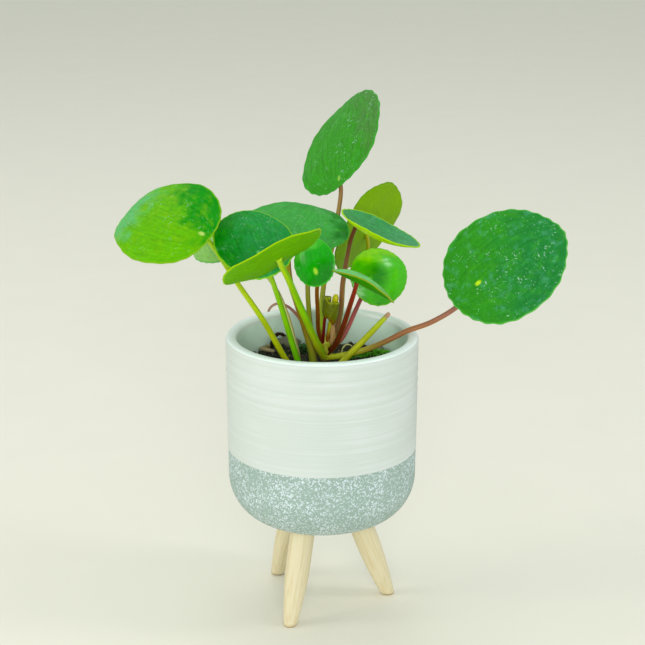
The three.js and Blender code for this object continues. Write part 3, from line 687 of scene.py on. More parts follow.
# at: where the blade meets its stalk; lean and leanTo: how far its face leans and which way;
# tipTo: where its tip points; offset: how far its middle lies from the stalk, in lengths;
# dome: its bend along and across; wave, point, scallop: how strongly its margin waves, runs out and is cut;
# light and deep: the two greens of its top, its own greens with painted light and painted shade laid on;
# deepTo: the side in space where the deep one lies, the side in painted shade, between deepFrom and
# deepEnd of the half length; heart: a place of painted shade as x, y and radius; sheen: the sky's
# colour on the side sheenTo; under, rim, spot: underside, margin and the place over the stalk;
# warm: sap that shows through; bloom: pale bluish clouds of painted sky sheen on the waxy skin;
# specks, veins, mottle: how strongly each shows.
leaves = {
    "leafLeft": {
        "node": "leaf_left", "at": (-59.5, -29, 210.5), "lean": 36, "leanTo": -124, "tipTo": 137,
        "length": 58.5, "width": 53.5, "offset": 0.41, "dome": (0.16, 0.09), "point": 0.05, "pointTurn": 34,
        "light": "#5cac00", "deep": "#088c00", "deepTo": (1, 0, 0.6), "deepFrom": 0.2, "deepEnd": 0.62,
        "sheen": "#5cb46c", "sheenTo": (-0.9, 0, 0.75),
        "under": "#7fae20", "rim": "#7cb018", "spot": "#b8d468", "warm": "#84b800", "warmth": 0.3,
        "bloom": 0.1, "bloomColour": "#a0d428",
        "specks": 0.4, "veins": 0.12, "mottle": 0.16, "roughness": 0.4, "gloss": 0.06,
    },
    "leafInnerLeft": {
        "node": "leaf_inner_left", "at": (-31.5, -26, 199.5), "lean": 41, "leanTo": -71, "tipTo": 114,
        "length": 41.5, "width": 41.5, "offset": 0.2, "dome": (0.22, 0.04),
        "light": "#22903c", "deep": "#007c00", "deepTo": (-1, 0, 0), "deepFrom": 0.0, "deepEnd": 0.7,
        "under": "#6f9a20", "rim": "#84c414", "spot": "#7fd070", "warm": "#2c9c10", "warmth": 0.4,
        "specks": 0.45, "veins": 0.2, "mottle": 0.18, "roughness": 0.45,
    },
    "leafBack": {
        "node": "leaf_back", "at": (-17, 3, 201.6), "lean": 11.7, "leanTo": -67, "tipTo": 78,
        "length": 59.5, "width": 57.5, "offset": 0.23, "dome": (0.07, 0.07),
        "light": "#3aa23a", "deep": "#047404", "deepTo": (1, 0, 0), "deepFrom": 0.55, "deepEnd": 1.1,
        "under": "#76a015", "rim": "#4aa83c", "spot": "#7fd070", "warm": "#4cac30",
        "specks": 0.6, "veins": 0.12, "mottle": 0.2, "roughness": 0.42,
    },
    "leafFront": {
        "node": "leaf_front", "at": (-21, -56, 206), "lean": 39, "leanTo": 139, "tipTo": -144,
        "length": 55.5, "width": 50.5, "offset": 0.06, "dome": (-0.06, -0.05),
        "light": "#2f9a3a", "deep": "#1f8a2c", "deepTo": (1, 0, 0), "deepFrom": 0.0, "deepEnd": 0.8,
        "under": "#66ae00", "rim": "#98c400", "spot": "#7fd070",
        "specks": 0.5, "veins": 0.15, "mottle": 0.18, "roughness": 0.45, "gloss": 0.04,
    },
    "leafSmall": {
        "node": "leaf_small", "at": (-3, -25.5, 190.5), "lean": 69, "leanTo": -114, "tipTo": 76,
        "length": 25, "width": 22, "offset": 0.2, "dome": (0.19, 0.17), "wave": 0.1,
        "light": "#0c9c00", "deep": "#088000", "deepTo": (1, 0, -1), "deepFrom": 0.0, "deepEnd": 0.8,
        "sheen": "#54c030", "sheenTo": (-1, 0, 1),
        "under": "#6a9c14", "rim": "#3cb41e", "spot": "#a8d838", "warm": "#28a800", "warmth": 0.15,
        "bloom": 0.0,
        "specks": 0.1, "veins": 0.1, "mottle": 0.12, "roughness": 0.22, "gloss": 0.26,
    },
    "leafTop": {
        "node": "leaf_top", "at": (9.4, 38, 223), "lean": 54, "leanTo": -157, "tipTo": 57,
        "length": 65, "width": 61.5, "offset": 0.42, "dome": (0.09, 0.03), "point": 0.04, "pointTurn": -40,
        "scallop": 0.24,
        "light": "#309010", "deep": "#448430", "deepTo": (1, 0, 0.3), "deepFrom": 0.2, "deepEnd": 0.7,
        "under": "#7c9c20", "rim": "#3c9c2c", "spot": "#90c850", "warm": "#349400", "warmth": 0.6,
        "bloom": 0.1,
        "specks": 0.9, "veins": 0.15, "mottle": 0.24, "roughness": 0.42, "gloss": 0.08,
    },
    "leafInnerRight": {
        "node": "leaf_inner_right", "at": (17.5, -8, 209.9), "lean": 23.5, "leanTo": 4, "tipTo": -3,
        "length": 43.5, "width": 43, "offset": 0.27, "dome": (-0.22, -0.24), "wave": 0.2,
        "light": "#3c944e", "deep": "#4a9c62", "deepTo": (1, 0, 0), "deepFrom": 0.0, "deepEnd": 0.8,
        "under": "#b8e000", "rim": "#a4d400", "spot": "#9aa070", "warm": "#4c9c40", "bloomColour": "#7cc4a0",
        "specks": 0.5, "veins": 0.2, "mottle": 0.28, "roughness": 0.45,
    },
    "leafBackRight": {
        "node": "leaf_back_right", "at": (24, 51.4, 189), "lean": 66, "leanTo": 143, "tipTo": -45,
        "length": 56, "width": 52.5, "offset": 0.1, "dome": (-0.05, 0.03), "point": 0.03, "pointTurn": 30,
        "light": "#2f9a3a", "deep": "#1f8a2c", "deepTo": (1, 0, 0), "deepFrom": 0.0, "deepEnd": 0.8,
        "under": "#78a800", "rim": "#6c9c08", "spot": "#9fd060",
        "specks": 0.3, "veins": 0.1, "mottle": 0.12, "roughness": 0.5, "gloss": 0.04,
    },
    "leafPale": {
        "node": "leaf_pale", "at": (-50.5, 4, 194.5), "lean": 22, "leanTo": -143, "tipTo": 102,
        "length": 33.5, "width": 31, "offset": 0.2, "dome": (0.12, 0.12), "wave": 0.2,
        "light": "#98d06c", "deep": "#7cbc5c", "deepTo": (1, 0, 0), "deepFrom": -0.2, "deepEnd": 0.8,
        "under": "#86b84a", "rim": "#78bc64", "spot": "#b0e0a0", "warm": "#98d068",
        "specks": 0.3, "veins": 0.2, "mottle": 0.15, "roughness": 0.5,
    },
    "leafDomed": {
        "node": "leaf_domed", "at": (24.5, 10, 176), "lean": 64, "leanTo": -66, "tipTo": 46,
        "length": 32.5, "width": 30.5, "offset": 0.22, "dome": (0.22, 0.26), "wave": 0.1,
        "light": "#44b800", "deep": "#108000", "deepTo": (-0.2, 0, -1), "deepFrom": 0.5, "deepEnd": 1.1,
        "heart": (4.4, 0.2, 9.5), "sheen": "#90d800", "sheenTo": (0, 0, 1),
        "under": "#4c8c10", "rim": "#70c014", "spot": "#50c008", "warm": "#84dc00", "warmth": 0.1,
        "bloom": 0.0,
        "specks": 0.05, "veins": 0.1, "mottle": 0.08, "roughness": 0.2, "gloss": 0.34,
    },
    "leafFolded": {
        "node": "leaf_folded", "at": (17.4, -39, 188.8), "lean": 29.5, "leanTo": 20, "tipTo": 1,
        "length": 34.5, "width": 29, "offset": 0.1, "dome": (0.04, -0.3), "wave": 0.1,
        "light": "#80d488", "deep": "#60bc54", "deepTo": (1, 0, 0), "deepFrom": 0.0, "deepEnd": 0.9,
        "under": "#308c04", "rim": "#8ca020", "spot": "#b0e0a0", "warm": "#8cf070",
        "specks": 0.1, "veins": 0.15, "mottle": 0.15, "roughness": 0.35, "gloss": 0.03,
    },
    "leafRight": {
        "node": "leaf_right", "at": (80.1, -6, 178.5), "lean": 54, "leanTo": -108, "tipTo": 41,
        "length": 66.5, "width": 60, "offset": 0.25, "dome": (0.1, 0.05), "point": 0.05, "pointTurn": -8,
        "scallop": 0.3,
        "light": "#2c8c18", "deep": "#1c7c30", "deepTo": (1, 0, 0), "deepFrom": -0.5, "deepEnd": 0.6,
        "under": "#86ac2c", "rim": "#58b040", "spot": "#c8ec20", "warm": "#48a818", "warmth": 0.25,
        "bloom": 0.35, "bloomColour": "#5cac8c",
        "specks": 1.0, "veins": 0.1, "mottle": 0.18, "roughness": 0.42, "gloss": 0.1,
    },
}
leaves = {name: {**usualBlade, **look} for name, look in leaves.items()}


def bladeAxes(look):
    lean, leanTo, tipTo = [math.radians(look[key]) for key in ("lean", "leanTo", "tipTo")]
    face = np.array([math.sin(lean) * math.cos(leanTo), math.sin(lean) * math.sin(leanTo), math.cos(lean)])
    tip = np.array([math.cos(tipTo), math.sin(tipTo), 0])
    tip = tip - face * np.dot(tip, face)
    tip = tip / np.linalg.norm(tip)
    return tip, np.cross(face, tip), face


# carries: the blade that it ends under; soil: how deep its foot goes into the soil; base and top: how wide
# its foot and head are; tip: how far a bare head is drawn out; the three colours run from foot to head, and
# edge colours the side that looks towards flushAndShadeTo: on most stalks painted shade on the side away
# from the light, on the others the stalk's own flush; path: the line along its middle.
stalks = {
    "stalkLeft": {
        "node": "stalk_left", "carries": "leafLeft", "soil": 5, "base": 3.3, "top": 2.3,
        "colours": ("#c8cc0c", "#b0cc0c", "#a4cc10"), "edge": "#84a808", "flushAndShadeTo": (0.8, 0, -0.6),
        "path": [(-16, 2, 130), (-20, 1, 137), (-30, -4, 157.5), (-43, -11, 180), (-55, -22, 203)],
    },
    "stalkInnerLeft": {
        "node": "stalk_inner_left", "carries": "leafInnerLeft", "soil": 5, "base": 3.4, "top": 2.3,
        "colours": ("#7cd008", "#84c808", "#a0c80c"), "edge": "#54a004", "flushAndShadeTo": (0.9, 0, -0.4),
        "path": [(-11, -1, 130), (-13, -2, 137), (-17, -6, 152), (-21.5, -12, 170), (-28, -20, 192)],
    },
    "stalkPale": {
        "node": "stalk_pale", "carries": "leafPale", "soil": 5, "base": 2, "top": 1.7,
        "colours": ("#d4dc94", "#dce088", "#c8dc70"), "edge": "#a87c4c", "flushAndShadeTo": (0.9, -0.3, 0.1),
        "path": [(-11.5, 6, 130), (-12.5, 6, 137), (-14.5, 6, 145), (-18, 6, 158), (-25, 6, 174),
                 (-38, 5, 188)],
    },
    "stalkFront": {
        "node": "stalk_front", "carries": "leafFront", "base": 4, "top": 3,
        "colours": ("#b4bc14", "#90cc08", "#b0d40c"), "edge": "#5cac04", "flushAndShadeTo": (0.9, 0, -0.4),
        "path": [(0, 0.5, 138.5), (-3.8, -8, 149.5), (-8.5, -17, 163.5), (-13, -28, 178), (-17, -41, 192),
                 (-20, -51.5, 201.5)],
    },
    "stalkBack": {
        "node": "stalk_back", "carries": "leafBack", "soil": 5, "base": 4.4, "top": 2.6,
        "colours": ("#84901c", "#987414", "#c0a41c"), "edge": "#745c10", "flushAndShadeTo": (0.9, 0, 0.3),
        "path": [(-4, -0.5, 130), (-5.3, 0, 140), (-8.5, 0.5, 152), (-12.8, 0.5, 166), (-16.5, 1, 178),
                 (-17.5, 2.5, 192)],
    },
    "stalkSmall": {
        "node": "stalk_small", "carries": "leafSmall", "base": 2.4, "top": 2,
        "colours": ("#743408", "#7c440c", "#945c1c"), "edge": "#ac941c", "flushAndShadeTo": (1, 0, 0.1),
        "path": [(0.4, 3.5, 143), (-1.7, 0.8, 151), (-2.1, -6, 163), (-2.5, -15, 178), (-1.5, -21.5, 186)],
    },
    "stalkTop": {
        "node": "stalk_top", "carries": "leafTop", "base": 3, "top": 2.2,
        "colours": ("#a8d00c", "#b4a83c", "#9c7040"), "edge": "#7c4c2c", "flushAndShadeTo": (0.9, 0, -0.3),
        "path": [(1.2, 5.5, 143.5), (-0.3, 9.5, 151), (1, 18, 171), (5.5, 30, 188.5), (8.5, 36.5, 204),
                 (10, 38, 216)],
    },
    "stalkInnerRight": {
        "node": "stalk_inner_right", "carries": "leafInnerRight", "base": 3.2, "top": 2.2,
        "colours": ("#84603c", "#94683c", "#5c300c"), "edge": "#7c9c2c", "flushAndShadeTo": (1, 0, 0),
        "path": [(2.8, 3.5, 143), (7.4, 4, 150.5), (9.8, 3, 162), (10.8, 0, 177), (13, -4, 192),
                 (14.8, -7, 202)],
    },
    "stalkBackRight": {
        "node": "stalk_back_right", "carries": "leafBackRight", "base": 2.6, "top": 2,
        "colours": ("#88b010", "#b4b818", "#bcb410"), "edge": "#7c9c1c", "flushAndShadeTo": (1, 0, 0),
        "path": [(2.5, 5, 141.5), (7, 9.5, 144.5), (11, 13, 149), (16, 23, 161.5), (22, 37, 174),
                 (24.8, 47, 183)],
    },
    "stalkDomed": {
        "node": "stalk_domed", "carries": "leafDomed", "base": 2.5, "top": 2.2,
        "colours": ("#7c3424", "#a04c48", "#b0504c"), "edge": "#b07c6c", "flushAndShadeTo": (0.9, 0, -0.4),
        "path": [(3.2, 3.5, 139.5), (9.5, 4, 144.5), (13.5, 5.5, 151), (17, 9.5, 158), (21.5, 14, 167)],
    },
    "stalkFolded": {
        "node": "stalk_folded", "carries": "leafFolded", "base": 3.2, "top": 2.2,
        "colours": ("#5c2408", "#7c3014", "#8c2c14"), "edge": "#a07c24", "flushAndShadeTo": (1, 0.1, -0.1),
        "path": [(3, 1.5, 138.8), (6.6, -2.5, 143.8), (11, -11.5, 157.5), (14.3, -24, 172.5),
                 (16.5, -34, 183.5)],
    },
    "stalkRight": {
        "node": "stalk_right", "carries": "leafRight", "base": 3.2, "top": 2.5,
        "colours": ("#c0c824", "#a46c44", "#94605c"), "edge": "#c8a02c", "flushAndShadeTo": (0, 0, -1),
        "path": [(2, 2.5, 135.5), (8, 0.5, 137), (22.5, 0.5, 140.6), (34, -0.5, 145.9), (44, -1, 151.3),
                 (56, -2, 156.2), (68.5, -3, 164.2), (77, -4, 173)],
    },
    "stalkCut": {
        "node": "stalk_cut", "soil": 5, "base": 4, "top": 2.6, "isCut": True,
        "colours": ("#b8c41c", "#bcc014", "#b0c41c"), "edge": "#94a00c", "flushAndShadeTo": (0.7, 0, -0.7),
        "path": [(6.5, -7, 130.5), (11, -7.5, 137), (22.5, -9, 150), (34, -11, 163.5)],
    },
    "stalkBare": {
        "node": "stalk_bare", "base": 2.8, "top": 2.4,
        "colours": ("#8ca010", "#98a418", "#a0983c"), "edge": "#5c7014", "flushAndShadeTo": (0.9, 0, 0),
        "path": [(0, 3.5, 140.5), (-5, 4.5, 148.5), (-7, 3.8, 164), (-7.5, 2, 182)],
    },
    "stalkDrooping": {
        "node": "stalk_drooping", "base": 2.2, "top": 1.3,
        "colours": ("#7c4830", "#8c5c44", "#9c7c68"), "edge": "#7c3424", "flushAndShadeTo": (0, 0, 1),
        "path": [(0.8, 5, 137.5), (-5, 14, 143), (-10, 24, 147.4), (-14, 33.5, 150), (-19, 42.5, 151.5),
                 (-24.5, 48.5, 150.9), (-28.5, 52.5, 147), (-30, 54.5, 141)],
    },
    "budStalk": {
        "node": "bud", "base": 1.6, "top": 3.4, "tip": 2.8,
        "colours": ("#8c4c10", "#bcc404", "#d0d008"), "edge": "#8c5010", "flushAndShadeTo": (1, 0, 0),
        "path": [(2.6, 1.4, 145), (3.4, 0.6, 150), (5, 0.6, 158), (6.9, -0.1, 168.2)],
    },
    "stalkYoung": {
        "node": "stalk_young", "base": 1.9, "top": 1.5, "tip": 0.4,
        "colours": ("#5c0c08", "#640c08", "#6c1408"), "edge": "#8c3010", "flushAndShadeTo": (-1, 0, 0),
        "path": [(0.5, 1, 144.5), (0.7, -1.4, 149.5), (1.3, -2.9, 157.4), (1.7, -3.5, 160.4)],
    },
    "litterCurl": {
        "node": "litter_curl", "soil": 3, "base": 1.6, "top": 2, "isDry": True,
        "colours": ("#1c1410", "#34180c", "#1c1410"), "edge": "#0c0a0a", "flushAndShadeTo": (-1, 0, 1),
        "path": [(-27, 28, 131), (-26.5, 31, 135.5), (-23.5, 33.5, 138.6), (-20, 33.5, 137.4),
                 (-18, 32, 132.5), (-17.5, 31, 128)],
    },
    "tendril": {
        "node": "tendril", "soil": 2, "base": 0.9, "top": 0.7, "isDry": True,
        "colours": ("#d0d070", "#dcd890", "#e4e0b0"), "edge": "#a8b050", "flushAndShadeTo": (1, 0, 0),
        "path": [(10.5, 22, 130.5), (11, 22.5, 134), (13, 23, 136), (15.5, 24, 135.2), (16, 25.5, 133.6)],
    },
}
# Form and marks that all the stalks share; a flare widens a stalk's foot and head.
stalk = {
    "sides": 28, "stepsPerMm": 1.1, "ribs": 3, "ribDepth": 0.035,
    "flareFoot": 0.22, "footLength": 2.6, "flareHead": 0.2, "headLength": 1.6,
    "extraSteps": 12, "capSteps": 9, "wrinkle": 0.14,
    "roughness": 0.38, "gloss": 0.25, "dryRoughness": 0.8, "streakWidth": 0.7,
    "pore": "#c8c850", "driedEnd": "#b48c6c",
}
# The short woody stem: its profile as (height, radius), and the stalks whose feet run into it.
stem = {
    "axis": (1.5, 3), "sides": 44, "rows": 70,
    "footDrop": 2.4,            # how far below its first point a crown stalk leaves the stem's axis
    "greenBand": (133.5, 137.5),        # where the bark turns from brown to green
    "stations": ((122, 1.7), (128, 2.2), (134, 2.3), (137, 2.9), (143, 2.9), (146, 2.2), (147, 1.2),
                 (147.2, 0.1)),
    "bark": "#2c1a10", "young": "#b0b41c", "scar": "#6c3c1c", "roughness": 0.5,
    "feet": ("stalk_front", "stalk_small", "stalk_top", "stalk_inner_right", "stalk_back_right",
             "stalk_domed", "stalk_folded", "stalk_right", "stalk_bare", "stalk_drooping", "stalk_young"),
}


# Petiole skin, living and smooth: juicy colour that turns along it, one side in painted shade on most
# stalks and in its own flush on the others, fine streaks.
def matPetiole(name, look):
    material, tree = newMaterial(name)
    place = storedPlace(tree, "stalkPlace")
    share = threeParts(tree, place)["X"]
    foot, middle, head = [linear(colour) for colour in look["colours"]]
    colour = mixed(tree, ranged(tree, share, (0.08, 0.45), isSoft=True), foot, middle)
    colour = mixed(tree, ranged(tree, share, (0.5, 0.95), isSoft=True), colour, head)
    # painted shade: on most stalks the side towards flushAndShadeTo is darkened as the side away from the
    # light
    side = np.array(look["flushAndShadeTo"], float)
    side = side / np.linalg.norm(side)
    normal = addNode(tree, "NewGeometry", {}, {}).outputs["Normal"]
    facing = addNode(tree, "VectorMath", {"operation": "DOT_PRODUCT"}, {0: normal, 1: tuple(side)})
    flushAndShade = ranged(tree, facing.outputs["Value"], (0.3, 0.9), (0.0, 0.65), isSoft=True)
    colour = mixed(tree, flushAndShade, colour, linear(look["edge"]))
    # streaks 0.7 mm apart round the stalk and about 14 mm long
    around = 1.6 / stalk["streakWidth"]
    streaks = cloudy(tree, moved(tree, "MULTIPLY", place, (4.0, around, around)), 1.0, 3.0)
    colour = shaded(tree, colour, ranged(tree, streaks, (0.3, 0.7), (0.78, 1.22)))
    if look.get("isCut"):
        # pale pores 0.5 mm wide and the dried papery end
        pores = addNode(tree, "TexVoronoi", {}, {"Vector": place, "Scale": 3.2}).outputs["Distance"]
        colour = mixed(tree, ranged(tree, pores, (0.16, 0.3), (0.4, 0.0)), colour, linear(stalk["pore"]))
        dried = ranged(tree, share, (0.93, 0.98), isSoft=True)
        colour = mixed(tree, dried, colour, linear(stalk["driedEnd"]))
    surface(tree, {"Base Color": colour, "Specular IOR Level": stalk["gloss"],
                   "Roughness": stalk["dryRoughness"] if look.get("isDry") else stalk["roughness"]})
    return material


def makeStalk(name, look):
    path = [np.array(point, float) for point in look["path"]]
    if "soil" in look:
        down = path[0] - path[1]
        path.insert(0, path[0] + down / np.linalg.norm(down) * look["soil"])
    if look["node"] in stem["feet"]:
        path.insert(0, np.array([*stem["axis"], path[0][2] - stem["footDrop"]]))
    if "carries" in look:
        path.append(np.array(leaves[look["carries"]]["at"], float))
    centres, length = smoothPath(path, stalk["extraSteps"])
    steps = int(length * stalk["stepsPerMm"]) + stalk["extraSteps"]
    centres, length = smoothPath(path, steps)
    share = np.linspace(0, 1, steps)
    radius = (look["base"] + (look["top"] - look["base"]) * share) / 2
    along = share * length
    if "soil" not in look and not look.get("tip"):
        radius = radius * (1 + stalk["flareFoot"] * np.exp(-(along / stalk["footLength"]) ** 2))
    if "carries" in look:
        radius = radius * (1 + stalk["flareHead"] * np.exp(-((length - along) / stalk["headLength"]) ** 2))
    angle = np.arange(stalk["sides"]) / stalk["sides"] * tau
    ribs = 1 + stalk["ribDepth"] * np.sin(stalk["ribs"] * angle)[None] * np.ones((steps, 1))
    full = radius[:, None] * ribs
    if look.get("isDry"):
        folds = stalk["wrinkle"] * np.sin(along * 2.1)[:, None]
        full = full * (1 + folds + 0.1 * np.sin(2 * angle + along[:, None]))
    if look.get("isCut"):
        shrunk = np.clip((share - 0.86) / 0.14, 0, 1)[:, None]
        full = full * (1 - 0.06 * shrunk + 0.1 * shrunk * np.sin(2 * angle + 5 * share[:, None]))
    # the head ends in a round or pointed cap
    if "carries" not in look:
        tip = look.get("tip", 0.35 * look["top"])
        tangent = centres[-1] - centres[-2]
        tangent = tangent / np.linalg.norm(tangent)
        rounds = np.linspace(0, 1, stalk["capSteps"])[1:]
        caps = centres[-1] + tangent * (tip * np.sin(rounds * math.pi / 2))[:, None]
        centres = np.vstack([centres, caps])
        shrink = np.cos(rounds * math.pi / 2)[:, None] * 0.985 + 0.015
        full = np.vstack([full, full[-1][None] * shrink])
        share = np.concatenate([share, np.ones(len(rounds))])
    points, faces, angle = tube(centres, full, stalk["sides"])
    if "carries" in look:
        # the head is trimmed along the blade, so that it doesn't come out on top
        face = bladeAxes(leaves[look["carries"]])[2]
        above = (points - path[-1]) @ face
        points = points - face * np.maximum(above, 0)[:, None]
    turn = np.tile(angle, len(centres))
    place = np.stack([np.repeat(share, stalk["sides"]), np.cos(turn), np.sin(turn)], -1)
    piece = buildPiece(name, points, faces, [matPetiole("petiole skin " + name, look)], None,
                       {"stalkPlace": place})
    standsFor(piece, look["node"])


for name, look in stalks.items():
    makeStalk(name, look)


# Pilea bark, young and corky: brown and scarred below, still green at the crown.
def matBark():
    material, tree = newMaterial("young corky bark")
    place = objectPlace(tree)
    # cork flecks of 1.2 mm
    spots = ranged(tree, cloudy(tree, place, 1.2 * mm, 3.0), (0.45, 0.62))
    old = mixed(tree, spots, linear(stem["bark"]), linear(stem["scar"]))
    band = [height * mm for height in stem["greenBand"]]
    up = ranged(tree, threeParts(tree, place)["Z"], band, isSoft=True)
    surface(tree, {"Base Color": mixed(tree, up, old, linear(stem["young"])),
                   "Roughness": stem["roughness"]})
    return material


def makeStem():
    heights, radii = np.array(stem["stations"]).T
    height = np.linspace(heights[0], heights[-1], stem["rows"])
    radius = np.interp(height, heights, radii)
    angle = np.arange(stem["sides"]) / stem["sides"] * tau
    z, turn = np.meshgrid(height, angle, indexing="ij")
    knobs = 0.16 * np.sin(z * 1.9 + 1.5 * np.sin(turn)) + 0.1 * np.sin(3 * turn + z)
    full = np.maximum(radius[:, None] + knobs * np.minimum(1, radius[:, None] / 2), 0.05)
    points = np.stack([stem["axis"][0] + full * np.cos(turn), stem["axis"][1] + full * np.sin(turn), z], -1)
    faces = cappedFaces(len(height), stem["sides"])
    standsFor(buildPiece("stemCrown", points.reshape(-1, 3), faces, [matBark()]), "stem")


makeStem()

# Papery stipules at the crown: foot, height, width, azimuth they face, outward lean, colour.
stipules = {
    "scales": (
        ((5.6, -0.6, 143.0), 13.8, 4.6, -95, 0.1, "#b48c54"),
        ((5.6, 0.2, 142.5), 8.0, 2.4, -50, 0.34, "#b89840"),
        ((2.0, -1.6, 138.8), 6.0, 3.8, -100, 0.24, "#a8ac20"),
        ((-1.6, -0.4, 138.0), 9.0, 3.6, -120, 0.16, "#b4b824"),
        ((5.2, 3.6, 143.0), 8.0, 2.8, 20, 0.25, "#b89464"),
        ((1.0, 6.2, 141.5), 8.0, 3.0, 100, 0.25, "#b49468"),
    ),
    "thickness": 0.22, "rows": 24, "columns": 15, "roughness": 0.6,
}


# Stipule membrane, dried in place: thin, pale and slightly shining, with long ribs.
def matStipule(name, colour):
    material, tree = newMaterial(name)
    # ribs 0.4 mm apart across a scale 3.5 mm wide
    drawn = moved(tree, "MULTIPLY", storedPlace(tree, "scalePlace"), (9.0, 0.8, 1.0))
    value = ranged(tree, cloudy(tree, drawn, 1.0, 2.0), (0.3, 0.7), (0.6, 1.25))
    surface(tree, {"Base Color": shaded(tree, linear(colour), value), "Roughness": stipules["roughness"]})
    return material


def makeStipules():
    rows, columns = stipules["rows"], stipules["columns"]
    for index, (foot, height, width, azimuth, lean, colour) in enumerate(stipules["scales"]):
        across, up = np.meshgrid(np.linspace(-1, 1, columns), np.linspace(0, 1, rows), indexing="xy")
        torn = 1 + 0.16 * np.sin(17 * up + 2 * across + index)
        half = width / 2 * torn * (0.35 + up) ** 0.5 * np.clip(1.04 - up, 0.04, 1) ** 0.75
        a = math.radians(azimuth)
        out = np.array([math.cos(a), math.sin(a), 0])
        side = np.array([-math.sin(a), math.cos(a), 0])
        cup = 0.9 * (across * half / (width / 2)) ** 2 - 0.25 * np.sin(up * 5 + across)
        reach = lean * height * up ** 1.4 - cup
        sheets = []
        for gap in (0, -stipules["thickness"]):
            sheet = (np.array(foot) + out * (reach + gap)[:, :, None] + side * (across * half)[:, :, None]
                     + np.array([0, 0, 1]) * (height * up)[:, :, None])
            sheets.append(sheet.reshape(-1, 3))
        place = np.stack([across.ravel(), up.ravel(), 0 * up.ravel()], -1)
        material = matStipule("dried stipule " + str(index + 1), colour)
        buildPiece("stipule" + str(index + 1), np.concatenate(sheets), sheetFaces(rows, columns), [material],
                   None, {"scalePlace": np.concatenate([place, place])})


makeStipules()

print("stage: leaves")

# Form and marks that all the blades share; half and edgeHalf are half the thickness at stalk and margin.
blade = {
    "sectors": 150, "rings": 34, "half": 0.55, "edgeHalf": 0.34, "egg": 0.06, "tipWidth": 0.32, "lip": 0.45,
    "firstRing": 0.03,          # share of the half length that the fan over the middle takes
    "scallops": 26, "sideVein": 0.44, "veinDepth": 0.05, "veinWidth": 0.9, "pucker": 0.14, "puckerSize": 10,
    "specks": ((20, 3.8), (-35, 5.0), (80, 6.6), (-75, 3.3)),    # turn in degrees, spacing in mm
    "speckColour": "#bce8d4",
}


# How far a place lies from the blade's middle towards a direction in space, in half lengths.
def bladeReach(tree, place, look, axes, towards):
    local = np.array([np.dot(towards, axes[0]), np.dot(towards, axes[1])])
    local = local / np.linalg.norm(local) / (look["length"] / 2)
    fromMiddle = moved(tree, "SUBTRACT", place, (look["offset"] * look["length"], 0, 0))
    return addNode(tree, "VectorMath", {"operation": "DOT_PRODUCT"},
                   {0: fromMiddle, 1: (local[0], local[1], 0)}).outputs["Value"]


# The greens of the upper side before streaks, veins and specks are laid on: the blade's own greens
# with painted light and shade, painted sky sheen and a painted shaded heart where a blade has them.
def bladeGreens(tree, place, veinPlace, look, axes):
    # the two greens wander into each other in patches of about 9 mm
    wander = ranged(tree, cloudy(tree, place, 9, 2.0), (0.25, 0.75), (-0.28, 0.28))
    # painted shade: the deep green gathers on the side of the blade towards deepTo, away from the light
    away = reckoned(tree, "ADD", bladeReach(tree, place, look, axes, look["deepTo"]), wander)
    deep = ranged(tree, away, (look["deepFrom"], look["deepEnd"]), isSoft=True)
    top = mixed(tree, deep, linear(look["light"]), linear(look["deep"]))
    if "sheen" in look:
        away = reckoned(tree, "ADD", bladeReach(tree, place, look, axes, look["sheenTo"]), wander)
        sheen = ranged(tree, away, (0.35, 0.8), (0.0, 0.85), isSoft=True)
        top = mixed(tree, sheen, top, linear(look["sheen"]))
    # painted shade: the deep green laid round the shaded middle of a domed blade
    if "heart" in look:
        x, y, size = look["heart"]
        heart = roundPatch(tree, place, (x, y, 0), (1, 1, 0), (0.25 * size, size), 0.9)
        top = mixed(tree, heart, top, linear(look["deep"]))
    # painted sky sheen: pale bluish clouds 5 mm wide on the waxy skin
    waxy = cloudy(tree, place, 5, 4.0, roughness=0.65)
    bloom = ranged(tree, waxy, (0.5, 0.72), (0.0, look["bloom"]), isSoft=True)
    top = mixed(tree, bloom, top, linear(look["bloomColour"]))
    # sap shows through in yellower clouds 6 mm wide
    sap = cloudy(tree, veinPlace, 12 / look["length"], 3.0)
    warmth = ranged(tree, sap, (0.48, 0.7), (0.0, look["warmth"]), isSoft=True)
    return mixed(tree, warmth, top, linear(look["warm"]))


# Long streaks that run together at the tip, 1.6 mm apart, over mottling of 1.8 mm: how bright each place is.
def bladeStreaks(tree, place, veinPlace, look):
    drawn = moved(tree, "MULTIPLY", veinPlace, (2.5, look["width"] / 3.2, 0))
    streaks = reckoned(tree, "MULTIPLY_ADD", cloudy(tree, drawn, 1.0, 2.0), 0.6, 0.2)
    both = reckoned(tree, "MULTIPLY_ADD", cloudy(tree, place, 1.8, 4.0, roughness=0.6), 0.5, streaks)
    return ranged(tree, both, (0.58, 0.92), (1 - look["mottle"], 1 + look["mottle"]))


# The three main veins, one along the middle and one on either side; each fades out over 0.7 mm.
def bladeVeins(tree, lateral, look):
    fromMid = reckoned(tree, "ABSOLUTE", lateral)
    fromSide = reckoned(tree, "ABSOLUTE", reckoned(tree, "SUBTRACT", fromMid, blade["sideVein"]))
    nearest = reckoned(tree, "MINIMUM", fromMid, fromSide)
    return ranged(tree, nearest, (0.0, 1.4 / look["width"]), (look["veins"], 0.0), isSoft=True)
